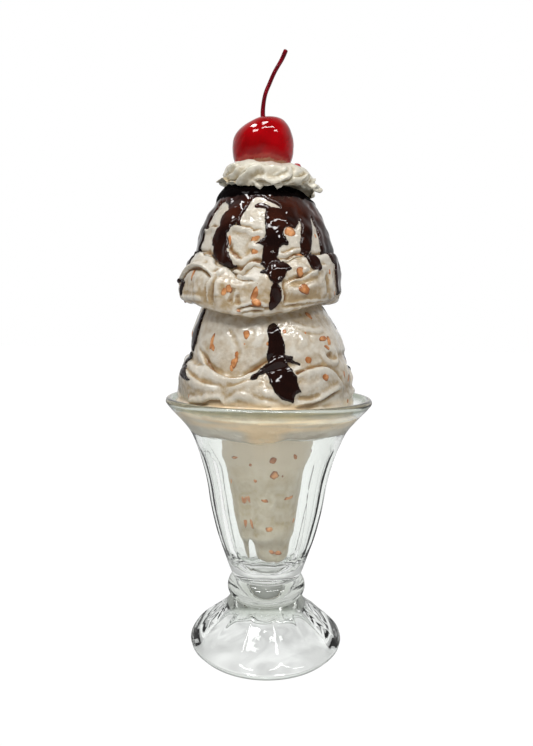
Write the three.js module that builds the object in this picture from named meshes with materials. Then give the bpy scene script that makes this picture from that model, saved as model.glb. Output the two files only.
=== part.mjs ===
// Display ice cream sundae in a pressed-glass tulip glass.
// Millimetres, +Z up, origin at the centre of the glass's base ring. The front of the sundae faces -Y.
// The glass is one pressed piece. The food is a varnished cast copy: a tapered plug that hangs in the
// bowl, two scoops with spread skirts, a piped swirl of cream, and a cherry with its stem.
import * as THREE from "three";

// Driving dimensions of the glass.
const GLASS_HEIGHT = 143;
const RIM_RADIUS = 57.2;
const LIP_BEAD_RADIUS = 2;
const WALL = 3.2;
const KNOB_RADIUS = 22.1;
const FOOT_RADIUS = 43;
const BASE_RING = { outer: 40, inner: 37 };
const FOOT_HOLLOW_HEIGHT = 27;
const FOOT_HOLLOW_STEPS = 6;
const BOWL_FLOOR = 46;
const FLUTES = 12;
const FLUTE_TURN = THREE.MathUtils.degToRad(-4.5);
const BOWL_FLUTE_DEPTH = 1;
const FOOT_FLUTE_DEPTH = 1.5;

// Driving dimensions of the food.
const GAP = 0.35;
const PLUG_TOP = 117.5;
const LOWER_TOP = 203;
const UPPER_TOP = 254.2;
const CREAM_RIDGES = 12;
const CREAM_TWIST = THREE.MathUtils.degToRad(42);
const CHERRY = { x: -5.1, z: 279, radius: 17, rise: 18.4, drop: 16.6, lean: 1.3 };
const CHERRY_DIMPLE = { depth: 4.6, width: 0.48 };
const STEM_RADIUS = 1.4;

// Steps round each kind of body.
const GLASS_STEPS = 4 * FLUTES;
const SCOOP_STEPS = 40;
const PLUG_STEPS = 24;
const CREAM_STEPS = 4 * CREAM_RIDGES;
const CHERRY_STEPS = 24;
const STEM_SIDES = 8;

const FRONT = -Math.PI / 2;

/** A smooth outline through the given [radius, height] points, as count + 1 points. */
function smoothOutline(points, count) {
  const curve = new THREE.SplineCurve(points.map(([r, z]) => new THREE.Vector2(r, z)));
  return curve.getPoints(count).map((p) => [p.x, p.y]);
}

/** Points on an arc of a circle in the outline's plane, from one angle to another, in degrees. */
function arc(centreR, centreZ, radius, from, to, count) {
  return Array.from({ length: count + 1 }, (_, i) => {
    const a = THREE.MathUtils.degToRad(from + ((to - from) * i) / count);
    return [centreR + radius * Math.cos(a), centreZ + radius * Math.sin(a)];
  });
}

/** How far an angle lies from another, from 0 to pi. */
function angleBetween(a, b) {
  return Math.abs(Math.atan2(Math.sin(a - b), Math.cos(a - b)));
}

/** A hump that is 1 at its centre angle and falls smoothly to 0 at half its width. */
function hump(angle, centre, halfWidth) {
  const u = angleBetween(angle, centre) / halfWidth;
  return u < 1 ? Math.cos((u * Math.PI) / 2) ** 2 : 0;
}

/**
 * A closed body made of rings round the Z axis, from a lower pole to an upper pole. place(ring, angle)
 * gives a point of a ring. The two poles are points on the rings' own axis.
 */
function ringedBody(ringCount, steps, place, lowPole, highPole) {
  const positions = [...lowPole];
  for (let ring = 0; ring < ringCount; ring += 1) {
    for (let step = 0; step < steps; step += 1) {
      positions.push(...place(ring, (2 * Math.PI * step) / steps));
    }
  }
  positions.push(...highPole);
  const last = positions.length / 3 - 1;
  const at = (ring, step) => 1 + ring * steps + (step % steps);
  const faces = [];
  for (let step = 0; step < steps; step += 1) {
    faces.push(0, at(0, step + 1), at(0, step));
    for (let ring = 0; ring + 1 < ringCount; ring += 1) {
      const [a, b] = [at(ring, step), at(ring, step + 1)];
      const [c, d] = [at(ring + 1, step), at(ring + 1, step + 1)];
      faces.push(a, b, d, a, d, c);
    }
    faces.push(at(ringCount - 1, step), at(ringCount - 1, step + 1), last);
  }
  const geometry = new THREE.BufferGeometry();
  geometry.setAttribute("position", new THREE.Float32BufferAttribute(positions, 3));
  geometry.setIndex(faces);
  geometry.computeVertexNormals();
  return geometry;
}

function finish(color, roughness, extra = {}) {
  return new THREE.MeshStandardMaterial({ color, roughness, metalness: 0, ...extra });
}

// ---------------------------------------------------------------- glass

const bowlOuter = [
  [19.7, 41.5],
  [24.3, 54],
  [28.4, 66],
  [32.2, 82],
  [34.5, 96],
  [37.6, 108],
  [41.7, 120],
  [44.9, 126],
  [49.9, 132],
  [RIM_RADIUS - 2.6, 137],
];

/** The bowl's inner wall stands one wall's thickness in from the outer one, above a rounded floor. */
const bowlInner = [
  [9, BOWL_FLOOR + 0.4],
  [15.5, BOWL_FLOOR + 4],
  ...bowlOuter.slice(1).map(([r, z]) => [r - WALL, z + 1]),
];

const footOuter = [
  [FOOT_RADIUS - 0.4, 3],
  [FOOT_RADIUS, 4.6],
  [FOOT_RADIUS - 1.3, 7.4],
  [37.3, 12],
  [29.4, 18],
  [23.8, 22.5],
  [21.6, 25.4],
];

/** How deep the flutes are cut at a height: full along the bowl and the foot, and faded out at their ends. */
function fluteDepth(z) {
  const { smoothstep } = THREE.MathUtils;
  const bowl = smoothstep(z, 45, 61) * (1 - smoothstep(z, 110, 119));
  const foot = smoothstep(z, 5, 11) * (1 - smoothstep(z, 20, 25));
  return BOWL_FLUTE_DEPTH * bowl + FOOT_FLUTE_DEPTH * foot;
}

function inFlute(angle) {
  const pitch = (2 * Math.PI) / FLUTES;
  const turned = (angle - FRONT - FLUTE_TURN) / pitch + 0.5;
  const across = 2 * (turned - Math.floor(turned)) - 1;
  return 1 - across * across;
}

function makeGlass() {
  const hollow = Array.from({ length: FOOT_HOLLOW_STEPS - 1 }, (_, i) => {
    const t = (i + 1) / FOOT_HOLLOW_STEPS;
    return [BASE_RING.inner * t, FOOT_HOLLOW_HEIGHT * (1 - t * t)];
  });
  const outside = [
    [BASE_RING.inner, 0],
    [BASE_RING.outer, 0],
    ...smoothOutline(footOuter, 8),
    ...arc(KNOB_RADIUS - 7.4, 34.2, 7.4, -50, 60, 5),
    ...smoothOutline(bowlOuter, 12),
  ];
  const lip = arc(RIM_RADIUS - LIP_BEAD_RADIUS, GLASS_HEIGHT - LIP_BEAD_RADIUS, LIP_BEAD_RADIUS, -45, 170, 5);
  const inside = smoothOutline(bowlInner, 9).reverse();
  const outline = [...hollow, ...outside, ...lip, ...inside];
  const outsideFrom = hollow.length + 2;
  const outsideTo = hollow.length + outside.length;
  const place = (ring, angle) => {
    const [r, z] = outline[ring];
    const fluted = ring >= outsideFrom && ring < outsideTo;
    const radius = r - (fluted ? fluteDepth(z) * inFlute(angle) : 0);
    return [radius * Math.cos(angle), radius * Math.sin(angle), z];
  };
  return ringedBody(outline.length, GLASS_STEPS, place, [0, 0, FOOT_HOLLOW_HEIGHT], [0, 0, BOWL_FLOOR]);
}

/** The bowl's inner radius at a height, read off the straight runs between its outline's points. */
function bowlRadiusAt(z) {
  const above = Math.max(1, bowlInner.findIndex(([, height]) => height >= z));
  const [r0, z0] = bowlInner[above - 1];
  const [r1, z1] = bowlInner[above];
  return r0 + ((r1 - r0) * (z - z0)) / (z1 - z0);
}

// ---------------------------------------------------------------- food

/** Rings of a food body: radius, height and the middle's x, with how much of the skirt's sag a ring takes. */
function foodBody(rings, steps, shape) {
  const place = (index, angle) => {
    const ring = rings[index];
    const { out, down } = shape(ring, angle);
    const radius = ring.r + out;
    return [ring.x + radius * Math.cos(angle), radius * Math.sin(angle), ring.z - down];
  };
  const [low, high] = [rings[0], rings[rings.length - 1]];
  return ringedBody(rings.length, steps, place, [low.x, 0, low.z], [high.x, 0, high.z]);
}

/** The plug tapers down into the bowl, with a step where it narrows to its foot. */
function makePlug() {
  const rings = [
    { r: 7.5, z: 48.5, x: 2 },
    { r: 10, z: 51, x: 2 },
    { r: 12.8, z: 61, x: 1 },
    { r: 16.2, z: 65.5, x: 0 },
    { r: 18, z: 75, x: -0.5 },
    { r: 20.5, z: 92, x: -0.5 },
    { r: 23.2, z: 105, x: -0.8 },
    { r: 26, z: 115, x: -0.8 },
    { r: 24.5, z: PLUG_TOP, x: -0.8 },
  ];
  const dents = (ring, angle) => ({ out: 0.5 * Math.sin(3 * angle + 0.11 * ring.z), down: 0 });
  return foodBody(rings, PLUG_STEPS, dents);
}

/** The lower scoop fills the flare of the bowl, spreads over it under a folded lip and rises as a dome. */
function makeLowerScoop() {
  const rings = [
    { r: 24, z: PLUG_TOP + GAP, x: -1, fold: 0, sag: 0 },
    { r: 36, z: 121.5, x: -0.5, fold: 0, sag: 0 },
    { r: 41, z: 127, x: 0, fold: 0, sag: 0 },
    { r: 45.5, z: 132.5, x: 0, fold: 0, sag: 0 },
    { r: 48.2, z: 139, x: -1.5, fold: 0.3, sag: 0.05 },
    { r: 48.8, z: 147, x: -2.3, fold: 0.8, sag: 0.3 },
    { r: 48.8, z: 155, x: -3, fold: 1, sag: 0.6 },
    { r: 46.8, z: 162, x: -2.6, fold: 0.9, sag: 0.9 },
    { r: 44.6, z: 165.6, x: -2.2, fold: 0.8, sag: 1 },
    { r: 43, z: 164.4, x: -1.6, fold: 0.5, sag: 1 },
    { r: 42.9, z: 170, x: -0.8, fold: 0.2, sag: 0.6 },
    { r: 41, z: 177.5, x: -2, fold: 0, sag: 0.1 },
    { r: 38.2, z: 183.4, x: -3, fold: 0, sag: 0 },
    { r: 33, z: 193.7, x: -4.5, fold: 0, sag: 0 },
    { r: 27.5, z: 200, x: -4.5, fold: 0, sag: 0 },
    { r: 22, z: LOWER_TOP, x: -4.5, fold: 0, sag: 0 },
  ];
  const folds = (ring, angle) => {
    const waves = 0.9 * Math.sin(5 * angle + 1.2) + 0.6 * Math.sin(9 * angle + 0.19 * ring.z);
    const out = ring.fold * (waves - 0.8);
    const room = bowlRadiusAt(ring.z) - Math.abs(ring.x) - GAP;
    const limit = ring.z < GLASS_HEIGHT - LIP_BEAD_RADIUS ? Math.min(0, room - ring.r - out) : 0;
    const ripple = 1.2 * Math.sin(4 * angle + 0.6);
    const sag = 8 * hump(angle, FRONT - 0.35, 1.1) + 3 * hump(angle, FRONT + Math.PI, 0.9);
    return { out: out + limit, down: ring.fold * ripple + ring.sag * sag };
  };
  return foodBody(rings, SCOOP_STEPS, folds);
}

/** The upper scoop sits over the lower one's crown, and its skirt hangs lowest at the front. */
function makeUpperScoop() {
  const rings = [
    { r: 22, z: LOWER_TOP + GAP, x: -4.5, skirt: 0 },
    { r: 28.3, z: 200.6, x: -4.5, skirt: 0 },
    { r: 34, z: 195.6, x: -4.8, skirt: 0.1 },
    { r: 41, z: 194.6, x: -5.8, skirt: 0.95 },
    { r: 44.6, z: 196.2, x: -6, skirt: 1 },
    { r: 45.6, z: 202, x: -6.3, skirt: 0.85 },
    { r: 45.2, z: 209, x: -6, skirt: 0.6 },
    { r: 43.4, z: 215.5, x: -5, skirt: 0.4 },
    { r: 41, z: 218.4, x: -4.5, skirt: 0.3 },
    { r: 39.4, z: 217, x: -4.2, skirt: 0.3 },
    { r: 38.6, z: 221.5, x: -4, skirt: 0 },
    { r: 35.6, z: 232, x: -4.8, skirt: 0 },
    { r: 32, z: 240, x: -5, skirt: 0 },
    { r: 26.2, z: 248.8, x: -3.6, skirt: 0 },
    { r: 19, z: UPPER_TOP, x: -3.4, skirt: 0 },
  ];
  const skirt = (ring, angle) => {
    const sag = 8.8 * hump(angle, FRONT - 0.1, 1.25) + 2.2 * hump(angle, FRONT + Math.PI, 1);
    const roll = 2 * hump(angle, Math.PI + 0.35, 0.6) + 0.8 * Math.sin(6 * angle + 0.4);
    return { out: ring.skirt * (roll - 0.4), down: ring.skirt * sag };
  };
  return foodBody(rings, SCOOP_STEPS, skirt);
}

/** The cream is one piped turn whose ridges lean over, with a pocket on top for the cherry. */
function makeCream() {
  const pocketRadius = CHERRY.radius + GAP;
  const rings = [
    { r: 20.5, z: UPPER_TOP + GAP, x: -3.4, ridge: 0 },
    { r: 25, z: 251.8, x: -2.2, ridge: 0.5 },
    { r: 27.4, z: 254, x: -1.6, ridge: 1 },
    { r: 27.2, z: 259, x: -1.6, ridge: 1 },
    { r: 25.2, z: 264, x: -2.2, ridge: 1 },
    { r: 22.8, z: 268.5, x: -3.2, ridge: 0.8 },
    { r: 19.6, z: 271.4, x: -4.2, ridge: 0.5 },
    { r: pocketRadius * 0.93, z: CHERRY.z - pocketRadius * 0.45, x: CHERRY.x, ridge: 0.1 },
    { r: pocketRadius * 0.77, z: CHERRY.z - pocketRadius * 0.7, x: CHERRY.x, ridge: 0 },
    { r: pocketRadius * 0.42, z: CHERRY.z - pocketRadius * 0.96, x: CHERRY.x, ridge: 0 },
  ];
  const height = CHERRY.z - pocketRadius - UPPER_TOP;
  const ridges = (ring, angle) => {
    const turned = angle + (CREAM_TWIST * (ring.z - UPPER_TOP)) / height;
    const crest = Math.abs(Math.cos((turned * CREAM_RIDGES) / 2));
    return { out: 2.2 * ring.ridge * (crest - 0.6), down: 0 };
  };
  return foodBody(rings, CREAM_STEPS, ridges);
}

/** The cherry is a little boxy, dimpled round its stem, with one shoulder higher than the other. */
function makeCherry() {
  const count = 12;
  const heightAt = (polar, angle) => {
    const half = Math.cos(polar) > 0 ? CHERRY.rise : CHERRY.drop;
    const dimple = CHERRY_DIMPLE.depth * Math.exp(-((polar / CHERRY_DIMPLE.width) ** 2));
    const lean = Math.max(0, Math.cos(polar)) * Math.sin(polar) * 2 * CHERRY.lean * Math.cos(angle);
    return CHERRY.z + half * Math.cos(polar) - dimple + lean;
  };
  const place = (ring, angle) => {
    const polar = Math.PI * (1 - (ring + 1) / count);
    const radius = CHERRY.radius * Math.sin(polar);
    return [CHERRY.x + radius * Math.cos(angle), radius * Math.sin(angle), heightAt(polar, angle)];
  };
  const poles = [Math.PI, 0].map((polar) => [CHERRY.x, 0, heightAt(polar, 0)]);
  return ringedBody(count - 1, CHERRY_STEPS, place, ...poles);
}

/** The stem rises from the cherry's dimple, leans back and then bows over to the right. */
function makeStem() {
  const base = CHERRY.z + CHERRY.rise - CHERRY_DIMPLE.depth + 2 * GAP;
  const route = [
    [CHERRY.x + 0.1, base],
    [-5.4, 298.5],
    [-4.3, 306.5],
    [-2, 312.5],
    [0.8, 318.8],
    [4.3, 324.9],
    [6.6, 330],
  ];
  const path = new THREE.CatmullRomCurve3(route.map(([x, z]) => new THREE.Vector3(x, 0, z)));
  const section = new THREE.Shape();
  section.absarc(0, 0, STEM_RADIUS, 0, 2 * Math.PI);
  return new THREE.ExtrudeGeometry(section, {
    extrudePath: path,
    steps: 10,
    curveSegments: STEM_SIDES,
    bevelEnabled: false,
  });
}

// ---------------------------------------------------------------- the sundae

const varnish = { glass: 0.05, food: 0.25, cherry: 0.15 };
const pieces = {
  glass: [makeGlass(), finish("#dfe6e2", varnish.glass, { transparent: true, opacity: 0.35 })],
  ice_cream_plug: [makePlug(), finish("#cfc6b4", varnish.food)],
  lower_scoop: [makeLowerScoop(), finish("#ded6c6", varnish.food)],
  upper_scoop: [makeUpperScoop(), finish("#e2dccd", varnish.food)],
  whipped_cream: [makeCream(), finish("#efe9da", varnish.food)],
  cherry: [makeCherry(), finish("#a80616", varnish.cherry)],
  cherry_stem: [makeStem(), finish("#6a0712", varnish.food)],
};

const sundae = new THREE.Group();
for (const [name, [geometry, material]] of Object.entries(pieces)) {
  const mesh = new THREE.Mesh(geometry, material);
  mesh.name = name;
  sundae.add(mesh);
}

export default sundae;
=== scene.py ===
import random
from contextlib import contextmanager
from math import cos, pi, radians, sin

import bmesh
import bpy
import numpy as np
from mathutils import Matrix, Vector, noise
from mathutils.bvhtree import BVHTree


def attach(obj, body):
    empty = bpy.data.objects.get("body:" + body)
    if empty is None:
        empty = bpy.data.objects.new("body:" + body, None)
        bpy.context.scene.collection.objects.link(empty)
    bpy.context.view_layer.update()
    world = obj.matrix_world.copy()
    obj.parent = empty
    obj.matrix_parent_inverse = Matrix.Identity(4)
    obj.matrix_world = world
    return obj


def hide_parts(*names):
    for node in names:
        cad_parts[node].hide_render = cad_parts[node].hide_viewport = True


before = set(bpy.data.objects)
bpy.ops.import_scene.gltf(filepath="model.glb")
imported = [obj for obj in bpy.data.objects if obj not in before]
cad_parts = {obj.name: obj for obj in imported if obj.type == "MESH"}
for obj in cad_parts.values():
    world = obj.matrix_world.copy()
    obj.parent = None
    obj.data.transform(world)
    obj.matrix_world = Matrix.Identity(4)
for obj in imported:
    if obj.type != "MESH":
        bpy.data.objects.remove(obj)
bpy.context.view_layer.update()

MM = 0.001

# Driving dimensions of the glass, as in the frame.
GLASS_HEIGHT = 143
RIM_RADIUS = 57.2
LIP_BEAD_RADIUS = 2
WALL = 3.2
KNOB_RADIUS = 22.1
FOOT_RADIUS = 43
BASE_RING = {"outer": 40, "inner": 37}
FOOT_HOLLOW_HEIGHT = 27
BOWL_FLOOR = 46
FLUTES = 12
FLUTE_TURN = -4.5
BOWL_FLUTE_DEPTH = 1.0
FOOT_FLUTE_DEPTH = 1.5
STEPS_PER_FLUTE = 18

bowl_outer = [(19.7, 41.5), (24.3, 54), (28.4, 66), (32.2, 82), (34.5, 96), (37.6, 108), (41.7, 120),
              (44.9, 126), (49.9, 132), (RIM_RADIUS - 2.6, 137)]
bowl_inner = [(9, BOWL_FLOOR + 0.4), (15.5, BOWL_FLOOR + 4)]
bowl_inner += [(r - WALL, z + 1) for r, z in bowl_outer[1:]]
foot_outer = [(FOOT_RADIUS - 0.4, 3), (FOOT_RADIUS, 4.6), (FOOT_RADIUS - 1.3, 7.4), (37.3, 12), (29.4, 18),
              (23.8, 22.5), (21.6, 25.4)]

# The middle of each piece of food, along x.
LOWER_MIDDLE = -2.5
UPPER_MIDDLE = -4.5
CREAM_MIDDLE = -2.0
PLUG_MIDDLE = -0.5
CHERRY_MIDDLE = (-5.1, 0, 279)
CHERRY_RADIUS = 17
SCRAP_MIDDLE = (13.4, -8.6, 266.8)
SCRAP_SIZE = (2.3, 2, 1.6)
SCRAP_UNEVEN = 0.3

# Round the cherry's foot, a lighter red band that is a painted reflection of the cream, and below it a pale
# edge of smeared cream: the tops of both, how soft they are, and the waves in them.
CREAM_REFLECTION_TOP = 270.9
SMEAR_EDGE = 269.3
CREAM_REFLECTION_SOFT = 0.7
SMEAR_EDGE_SOFT = 0.5
CREAM_REFLECTION_WAVER = 1.6
FOOT_BAND_FREQUENCY = 0.22

# The stalk's route (x, z), its thickness along it and its mesh.
STEM_ROUTE = [(-5, 291), (-5.4, 298.5), (-4.3, 306.5), (-2, 312.5), (0.8, 318.8), (4.3, 324.9), (6.6, 330)]
STEM_RADII = [(0, 1.5), (0.12, 1.3), (0.3, 1.15), (0.8, 1.1), (0.95, 1.25), (1, 1.2)]
STEM_SIDES = 20
STEM_STEP = 0.8
STEM_BEVEL = 0.35

# How finely each piece of food is meshed.
SCOOP_GRAIN = 0.72
PLUG_GRAIN = 0.9
CREAM_GRAIN = 0.45

# Folds of the lower scoop: kind, width and height of the relief, and the line that it follows.
LOWER_FOLDS = [
    ("flange", 5.5, 1.5, [(-60, 171), (-56, 169), (-49, 165), (-43, 161), (-35, 158.5), (-29, 157),
        (-21, 156), (-15, 156.3), (-11, 157.5), (-4, 160.7), (4, 164.5), (9, 166.4), (13, 164.8),
        (17, 161)]),
    ("flange", 5, 1.2, [(-72, 160), (-64, 158.5), (-56, 157), (-48, 155), (-42, 153.4), (-35, 152.2),
        (-25, 151.7)]),
    ("flange", 4.5, 0.7, [(-25, 151.7), (-17, 152.5), (-10, 154.6), (-1, 156.1)]),
    ("flange", 6.5, 1.6, [(18, 156), (20, 157.8), (23, 159.6), (28, 160.8), (36, 161.8), (43, 161),
        (49, 158.8), (57, 153.8), (64, 149)]),
    ("pit", 1.8, 1.6, [(21, 160.3), (25, 161)]),
    ("groove", 2.2, 0.7, [(24, 163), (31, 162), (37, 162.8), (44, 163.6)]),
    ("eave", 4, 1.5, [(-56, 142.5), (-49, 143.6), (-39, 144.2), (-35, 145.8), (-28, 146.1), (-26, 144.8),
        (-23, 142)]),
    ("ridge", 3, 1.3, [(-26, 142), (-20, 145.5), (-16, 147.9), (-12, 147.8), (-7, 146.5), (-1, 144.8),
        (5, 142.9), (10, 141)]),
    ("ridge", 3, 1, [(-3, 150.5), (2, 149.6), (7, 149.2), (11, 147.3), (16, 143.3)]),
    ("eave", 4, 1.4, [(14, 142.5), (21, 144.1), (29, 144.8), (35, 146.1), (40, 147.5), (48, 149.5),
        (58, 151)]),
    ("groove", 2, 0.8, [(19, 148), (24, 147), (29, 147.3), (36, 149)]),
    ("ridge", 2.4, 1.2, [(40, 171), (42, 168.5), (46, 165.4), (52, 163.8), (58, 165), (58, 168.5),
        (55, 171)]),
    ("pit", 2.6, 1, [(49, 167.5), (51, 168)]),
    ("ridge", 2.2, 0.8, [(20, 184), (30, 181), (42, 180), (50, 182)]),
    ("groove", 2.4, 0.6, [(-30, 182), (-22, 176), (-18, 170), (-20, 163)]),
    ("ridge", 3, 0.6, [(-8, 184), (-4, 178), (-6, 171)]),
    ("flange", 5, 1.4, [(76, 150), (88, 156), (102, 160), (118, 158), (130, 153)]),
    ("flange", 5.5, 1.5, [(126, 166), (142, 162), (158, 158), (174, 160), (190, 165), (204, 161)]),
    ("flange", 5, 1.3, [(200, 156), (216, 152), (232, 153), (246, 158), (262, 164), (276, 167)]),
    ("eave", 4, 1.4, [(70, 144), (86, 147), (100, 144), (112, 146), (128, 148), (140, 143)]),
    ("eave", 4, 1.4, [(150, 142), (166, 147), (182, 148), (198, 144), (214, 146), (230, 143)]),
    ("ridge", 3, 1.2, [(236, 142), (250, 148), (264, 149), (280, 144), (294, 141)]),
    ("ridge", 2.6, 1, [(96, 180), (106, 174), (120, 171), (134, 173)]),
    ("ridge", 2.6, 1, [(176, 184), (186, 176), (202, 172), (216, 175)]),
    ("groove", 2.4, 0.8, [(238, 186), (246, 178), (262, 173), (270, 175)]),
]

# How far the lip of the upper scoop's skirt lies above (+) or below (-) its cast height: (azimuth, mm).
SKIRT_LIP = [(-110, -1), (-84, -4), (-69, -2), (-61, 1), (-50, 0.5), (-39, -1.8), (-33, -4.4), (-27, -6.8),
             (-23, -8.6), (-16, -10), (-12, -10), (-9, -7.6), (-5, -5.2), (-1, -6.2), (4, -7), (8, -3),
             (14, -3.7), (19, -3.7), (24, -1.7), (30, -1), (45, -0.6), (61, 1), (76, 0), (95, -3),
             (112, -1), (128, 1), (146, -4), (163, -1), (180, 0), (197, -4), (214, -7), (228, -3)]

# The lower scoop in the glass: where it ends against the wall and how that edge wavers (waves round it,
# phase, height), the lower blob in front, how far it narrows under that, how far the plug reaches up into
# it, and how far it goes into the wall.
FLARE_BOTTOM = 125.6
FLARE_WAVER = 0.7
FLARE_WAVES = [(3, 40, 1), (8, 0, 0.7)]
BLOB_DROP = 2.6
BLOB_WIDTH = 12
PLUG_WAIST = 0.56
PLUG_RISE = 11
WALL_TOUCH = 0.5

# Where the upper scoop's skirt, the skirt's low corner and the dome are slimmer than cast, and where the
# dome's shoulder is higher: (azimuth, mm).
SKIRT_WAIST = [(-140, 0), (-105, -2.4), (-80, -3), (-62, -2.4), (-45, 0), (60, 0), (84, -0.4), (100, 0)]
SKIRT_CORNER = [(30, 0), (55, -2.6), (80, -4), (100, -1.5), (125, 0)]
DOME_WAIST = [(-130, 0), (-95, -2.2), (-60, -1.6), (-40, 0)]
DOME_SHOULDER = [(-150, 0), (-105, 3.6), (-60, 3.6), (-25, 1.2), (0, 0.6), (40, 0)]

# Folds of the upper scoop: the skirt's ragged upper lip, its cut faces and its layered lower lip.
UPPER_FOLDS = [
    ("flange", 4, 1.6, [(-84, 214), (-69, 216), (-61, 219), (-50, 218.4), (-42, 216.6), (-36, 213),
        (-32, 210)]),
    ("flange", 4.4, 1.9, [(-36, 206.4), (-31, 208.4), (-28, 209.4), (-25, 208.6), (-22, 207.4),
        (-18, 209.4), (-15, 208.4), (-11, 210.6), (-8, 212.4), (-2, 212.6), (4, 211.6)]),
    ("ridge", 4, 0.9, [(-31, 213), (-25, 214.4), (-19, 213.2), (-14, 212.4), (-8, 214.4), (-3, 213.4)]),
    ("flange", 4, 1.6, [(8, 215), (14, 214.3), (19, 214.3), (24, 216.3), (30, 217), (37, 217.4),
        (45, 217.4), (61, 218.9), (76, 218)]),
    ("eave", 3.2, 1.9, [(-76, 202), (-69, 206), (-62, 210), (-54, 211.8), (-46, 211.6), (-39, 209.6),
        (-33, 206), (-35, 202.6), (-36, 198), (-36, 192)]),
    ("ridge", 2.4, 1, [(-70, 197.5), (-60, 196.6), (-48, 196), (-38, 195.2)]),
    ("groove", 2.4, 1.4, [(-31, 211), (-31.5, 206), (-32, 201.4), (-33, 196), (-32, 192)]),
    ("ridge", 3, 1, [(-27, 206), (-28, 201), (-28, 196)]),
    ("eave", 3, 1.2, [(-24, 209.4), (-20, 207.6), (-17, 206.1), (-13, 204.8), (-6, 204.7), (-3, 202.8)]),
    ("pit", 2, 0.9, [(-15, 196), (-14, 193.6)]),
    ("groove", 1.8, 0.9, [(-17, 201), (-18, 197), (-20, 193)]),
    ("eave", 2.4, 0.8, [(-17, 190), (-13, 191.3), (-9, 192), (-3, 192.8), (3, 191.6), (7, 192)]),
    ("eave", 2.2, 0.7, [(-14, 188.4), (-8, 189.8), (-3, 190.3), (3, 190)]),
    ("ridge", 2.6, 1.3, [(27, 210.4), (31, 209.5), (34, 209), (40, 208.8)]),
    ("groove", 2.8, 0.8, [(12, 204.5), (15, 203.8), (18, 203.2), (25, 205.3), (30, 207.2)]),
    ("ridge", 4, 1.2, [(14, 200), (22, 199.4), (30, 201), (38, 203.6), (46, 206)]),
    ("flange", 2.6, 1, [(13, 206), (12.6, 201), (14, 197), (14, 193)]),
    ("eave", 2.2, 0.6, [(10, 193), (16, 192.6), (23, 193.4), (35, 194.6), (48, 195.6), (58, 196.5)]),
    ("ridge", 3, 1, [(52, 208), (55, 203), (58, 199), (66, 197)]),
    ("groove", 2.6, 0.9, [(47, 210), (50, 204), (51, 198)]),
    ("flange", 3.2, 1.4, [(-29, 229), (-23, 231.3), (-18, 230.7), (-10, 229.5), (-7, 228), (-3, 228.5),
        (2, 228)]),
    ("flange", 3, 1.2, [(-24, 224.4), (-26, 219.4), (-20, 215.6), (-14, 213)]),
    ("ridge", 2.6, 1.2, [(-10, 223.4), (-6, 221), (-2, 221.4), (3, 224.1)]),
    ("flange", 4, 1, [(11, 218.4), (15, 217), (20, 218.2), (26, 219.9), (31, 220.4)]),
    ("flange", 3.4, 1, [(14, 201.6), (21, 204.8), (27, 206), (34, 208.8), (42, 212), (50, 213.4)]),
    ("groove", 2, 0.5, [(-46, 228), (-45, 224), (-46, 218)]),
    ("flange", 2.8, 1.5, [(-62, 230.6), (-57, 231.6), (-52, 231), (-47, 232.2), (-42, 231.4), (-37, 232)]),
    ("flange", 4.5, 1.5, [(84, 216), (98, 212), (112, 214), (126, 217), (140, 214), (152, 210)]),
    ("flange", 4.5, 1.5, [(150, 213), (166, 217), (182, 218), (198, 214), (212, 211), (228, 214)]),
    ("flange", 4.5, 1.4, [(226, 212), (240, 216), (254, 217), (266, 213), (278, 214)]),
    ("groove", 2.4, 1.2, [(102, 211), (104, 204), (103, 197)]),
    ("ridge", 3, 1.2, [(110, 209), (118, 205), (130, 206), (142, 203)]),
    ("groove", 2.4, 1.2, [(158, 209), (161, 203), (160, 196)]),
    ("ridge", 3, 1.2, [(168, 206), (180, 209), (194, 207), (204, 202)]),
    ("groove", 2.4, 1.1, [(214, 208), (216, 201), (214, 195)]),
    ("eave", 3, 1, [(88, 196), (104, 199), (120, 197), (138, 200), (156, 198)]),
    ("eave", 3, 1, [(170, 198), (188, 200), (206, 197), (224, 199), (244, 197)]),
]

# The piped cream, by azimuth: how far its top above the shoulder is pressed down (a part of its height),
# its lower edge is lifted, its side is drawn in or out (low down, and near the top), and the turns of the
# nozzle are smoothed away. Then the ropes behind: the first, an end, and the step between them, in degrees.
CREAM_SHOULDER = 261
CREAM_PRESSED = [(-120, 0.3), (-85, 0.12), (-60, 0.28), (-44, 0.44), (-28, 0.36), (-12, 0.5), (4, 0.42),
                 (20, 0.5), (34, 0.36), (60, 0.25), (90, 0.15), (130, 0.3), (180, 0.45)]
CREAM_LIFTED = [(-150, 0), (-105, 4), (-88, 2.6), (-78, 1), (-66, 2.6), (-54, 0.6), (-45, 1.5), (-24, 0.6),
                (25, 1), (60, 2), (90, 2), (120, 0)]
CREAM_WAIST = [(-130, 0), (-105, -4.4), (-80, -6.4), (-60, -5), (-45, -3), (-30, -0.8), (0, 0), (40, -1.4),
               (75, -4), (115, -1.5)]
CREAM_BROW = [(-130, 0), (-100, -1.4), (-75, -1.2), (-45, 0.4), (-20, 0), (40, -0.6), (75, -1.8), (115, 0)]
CREAM_CALM = [(-150, 0), (-110, 0.8), (-80, 1), (70, 1), (100, 0.5), (130, 0)]
CREAM_BACK_TURNS = (100, 250, 19)
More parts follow.
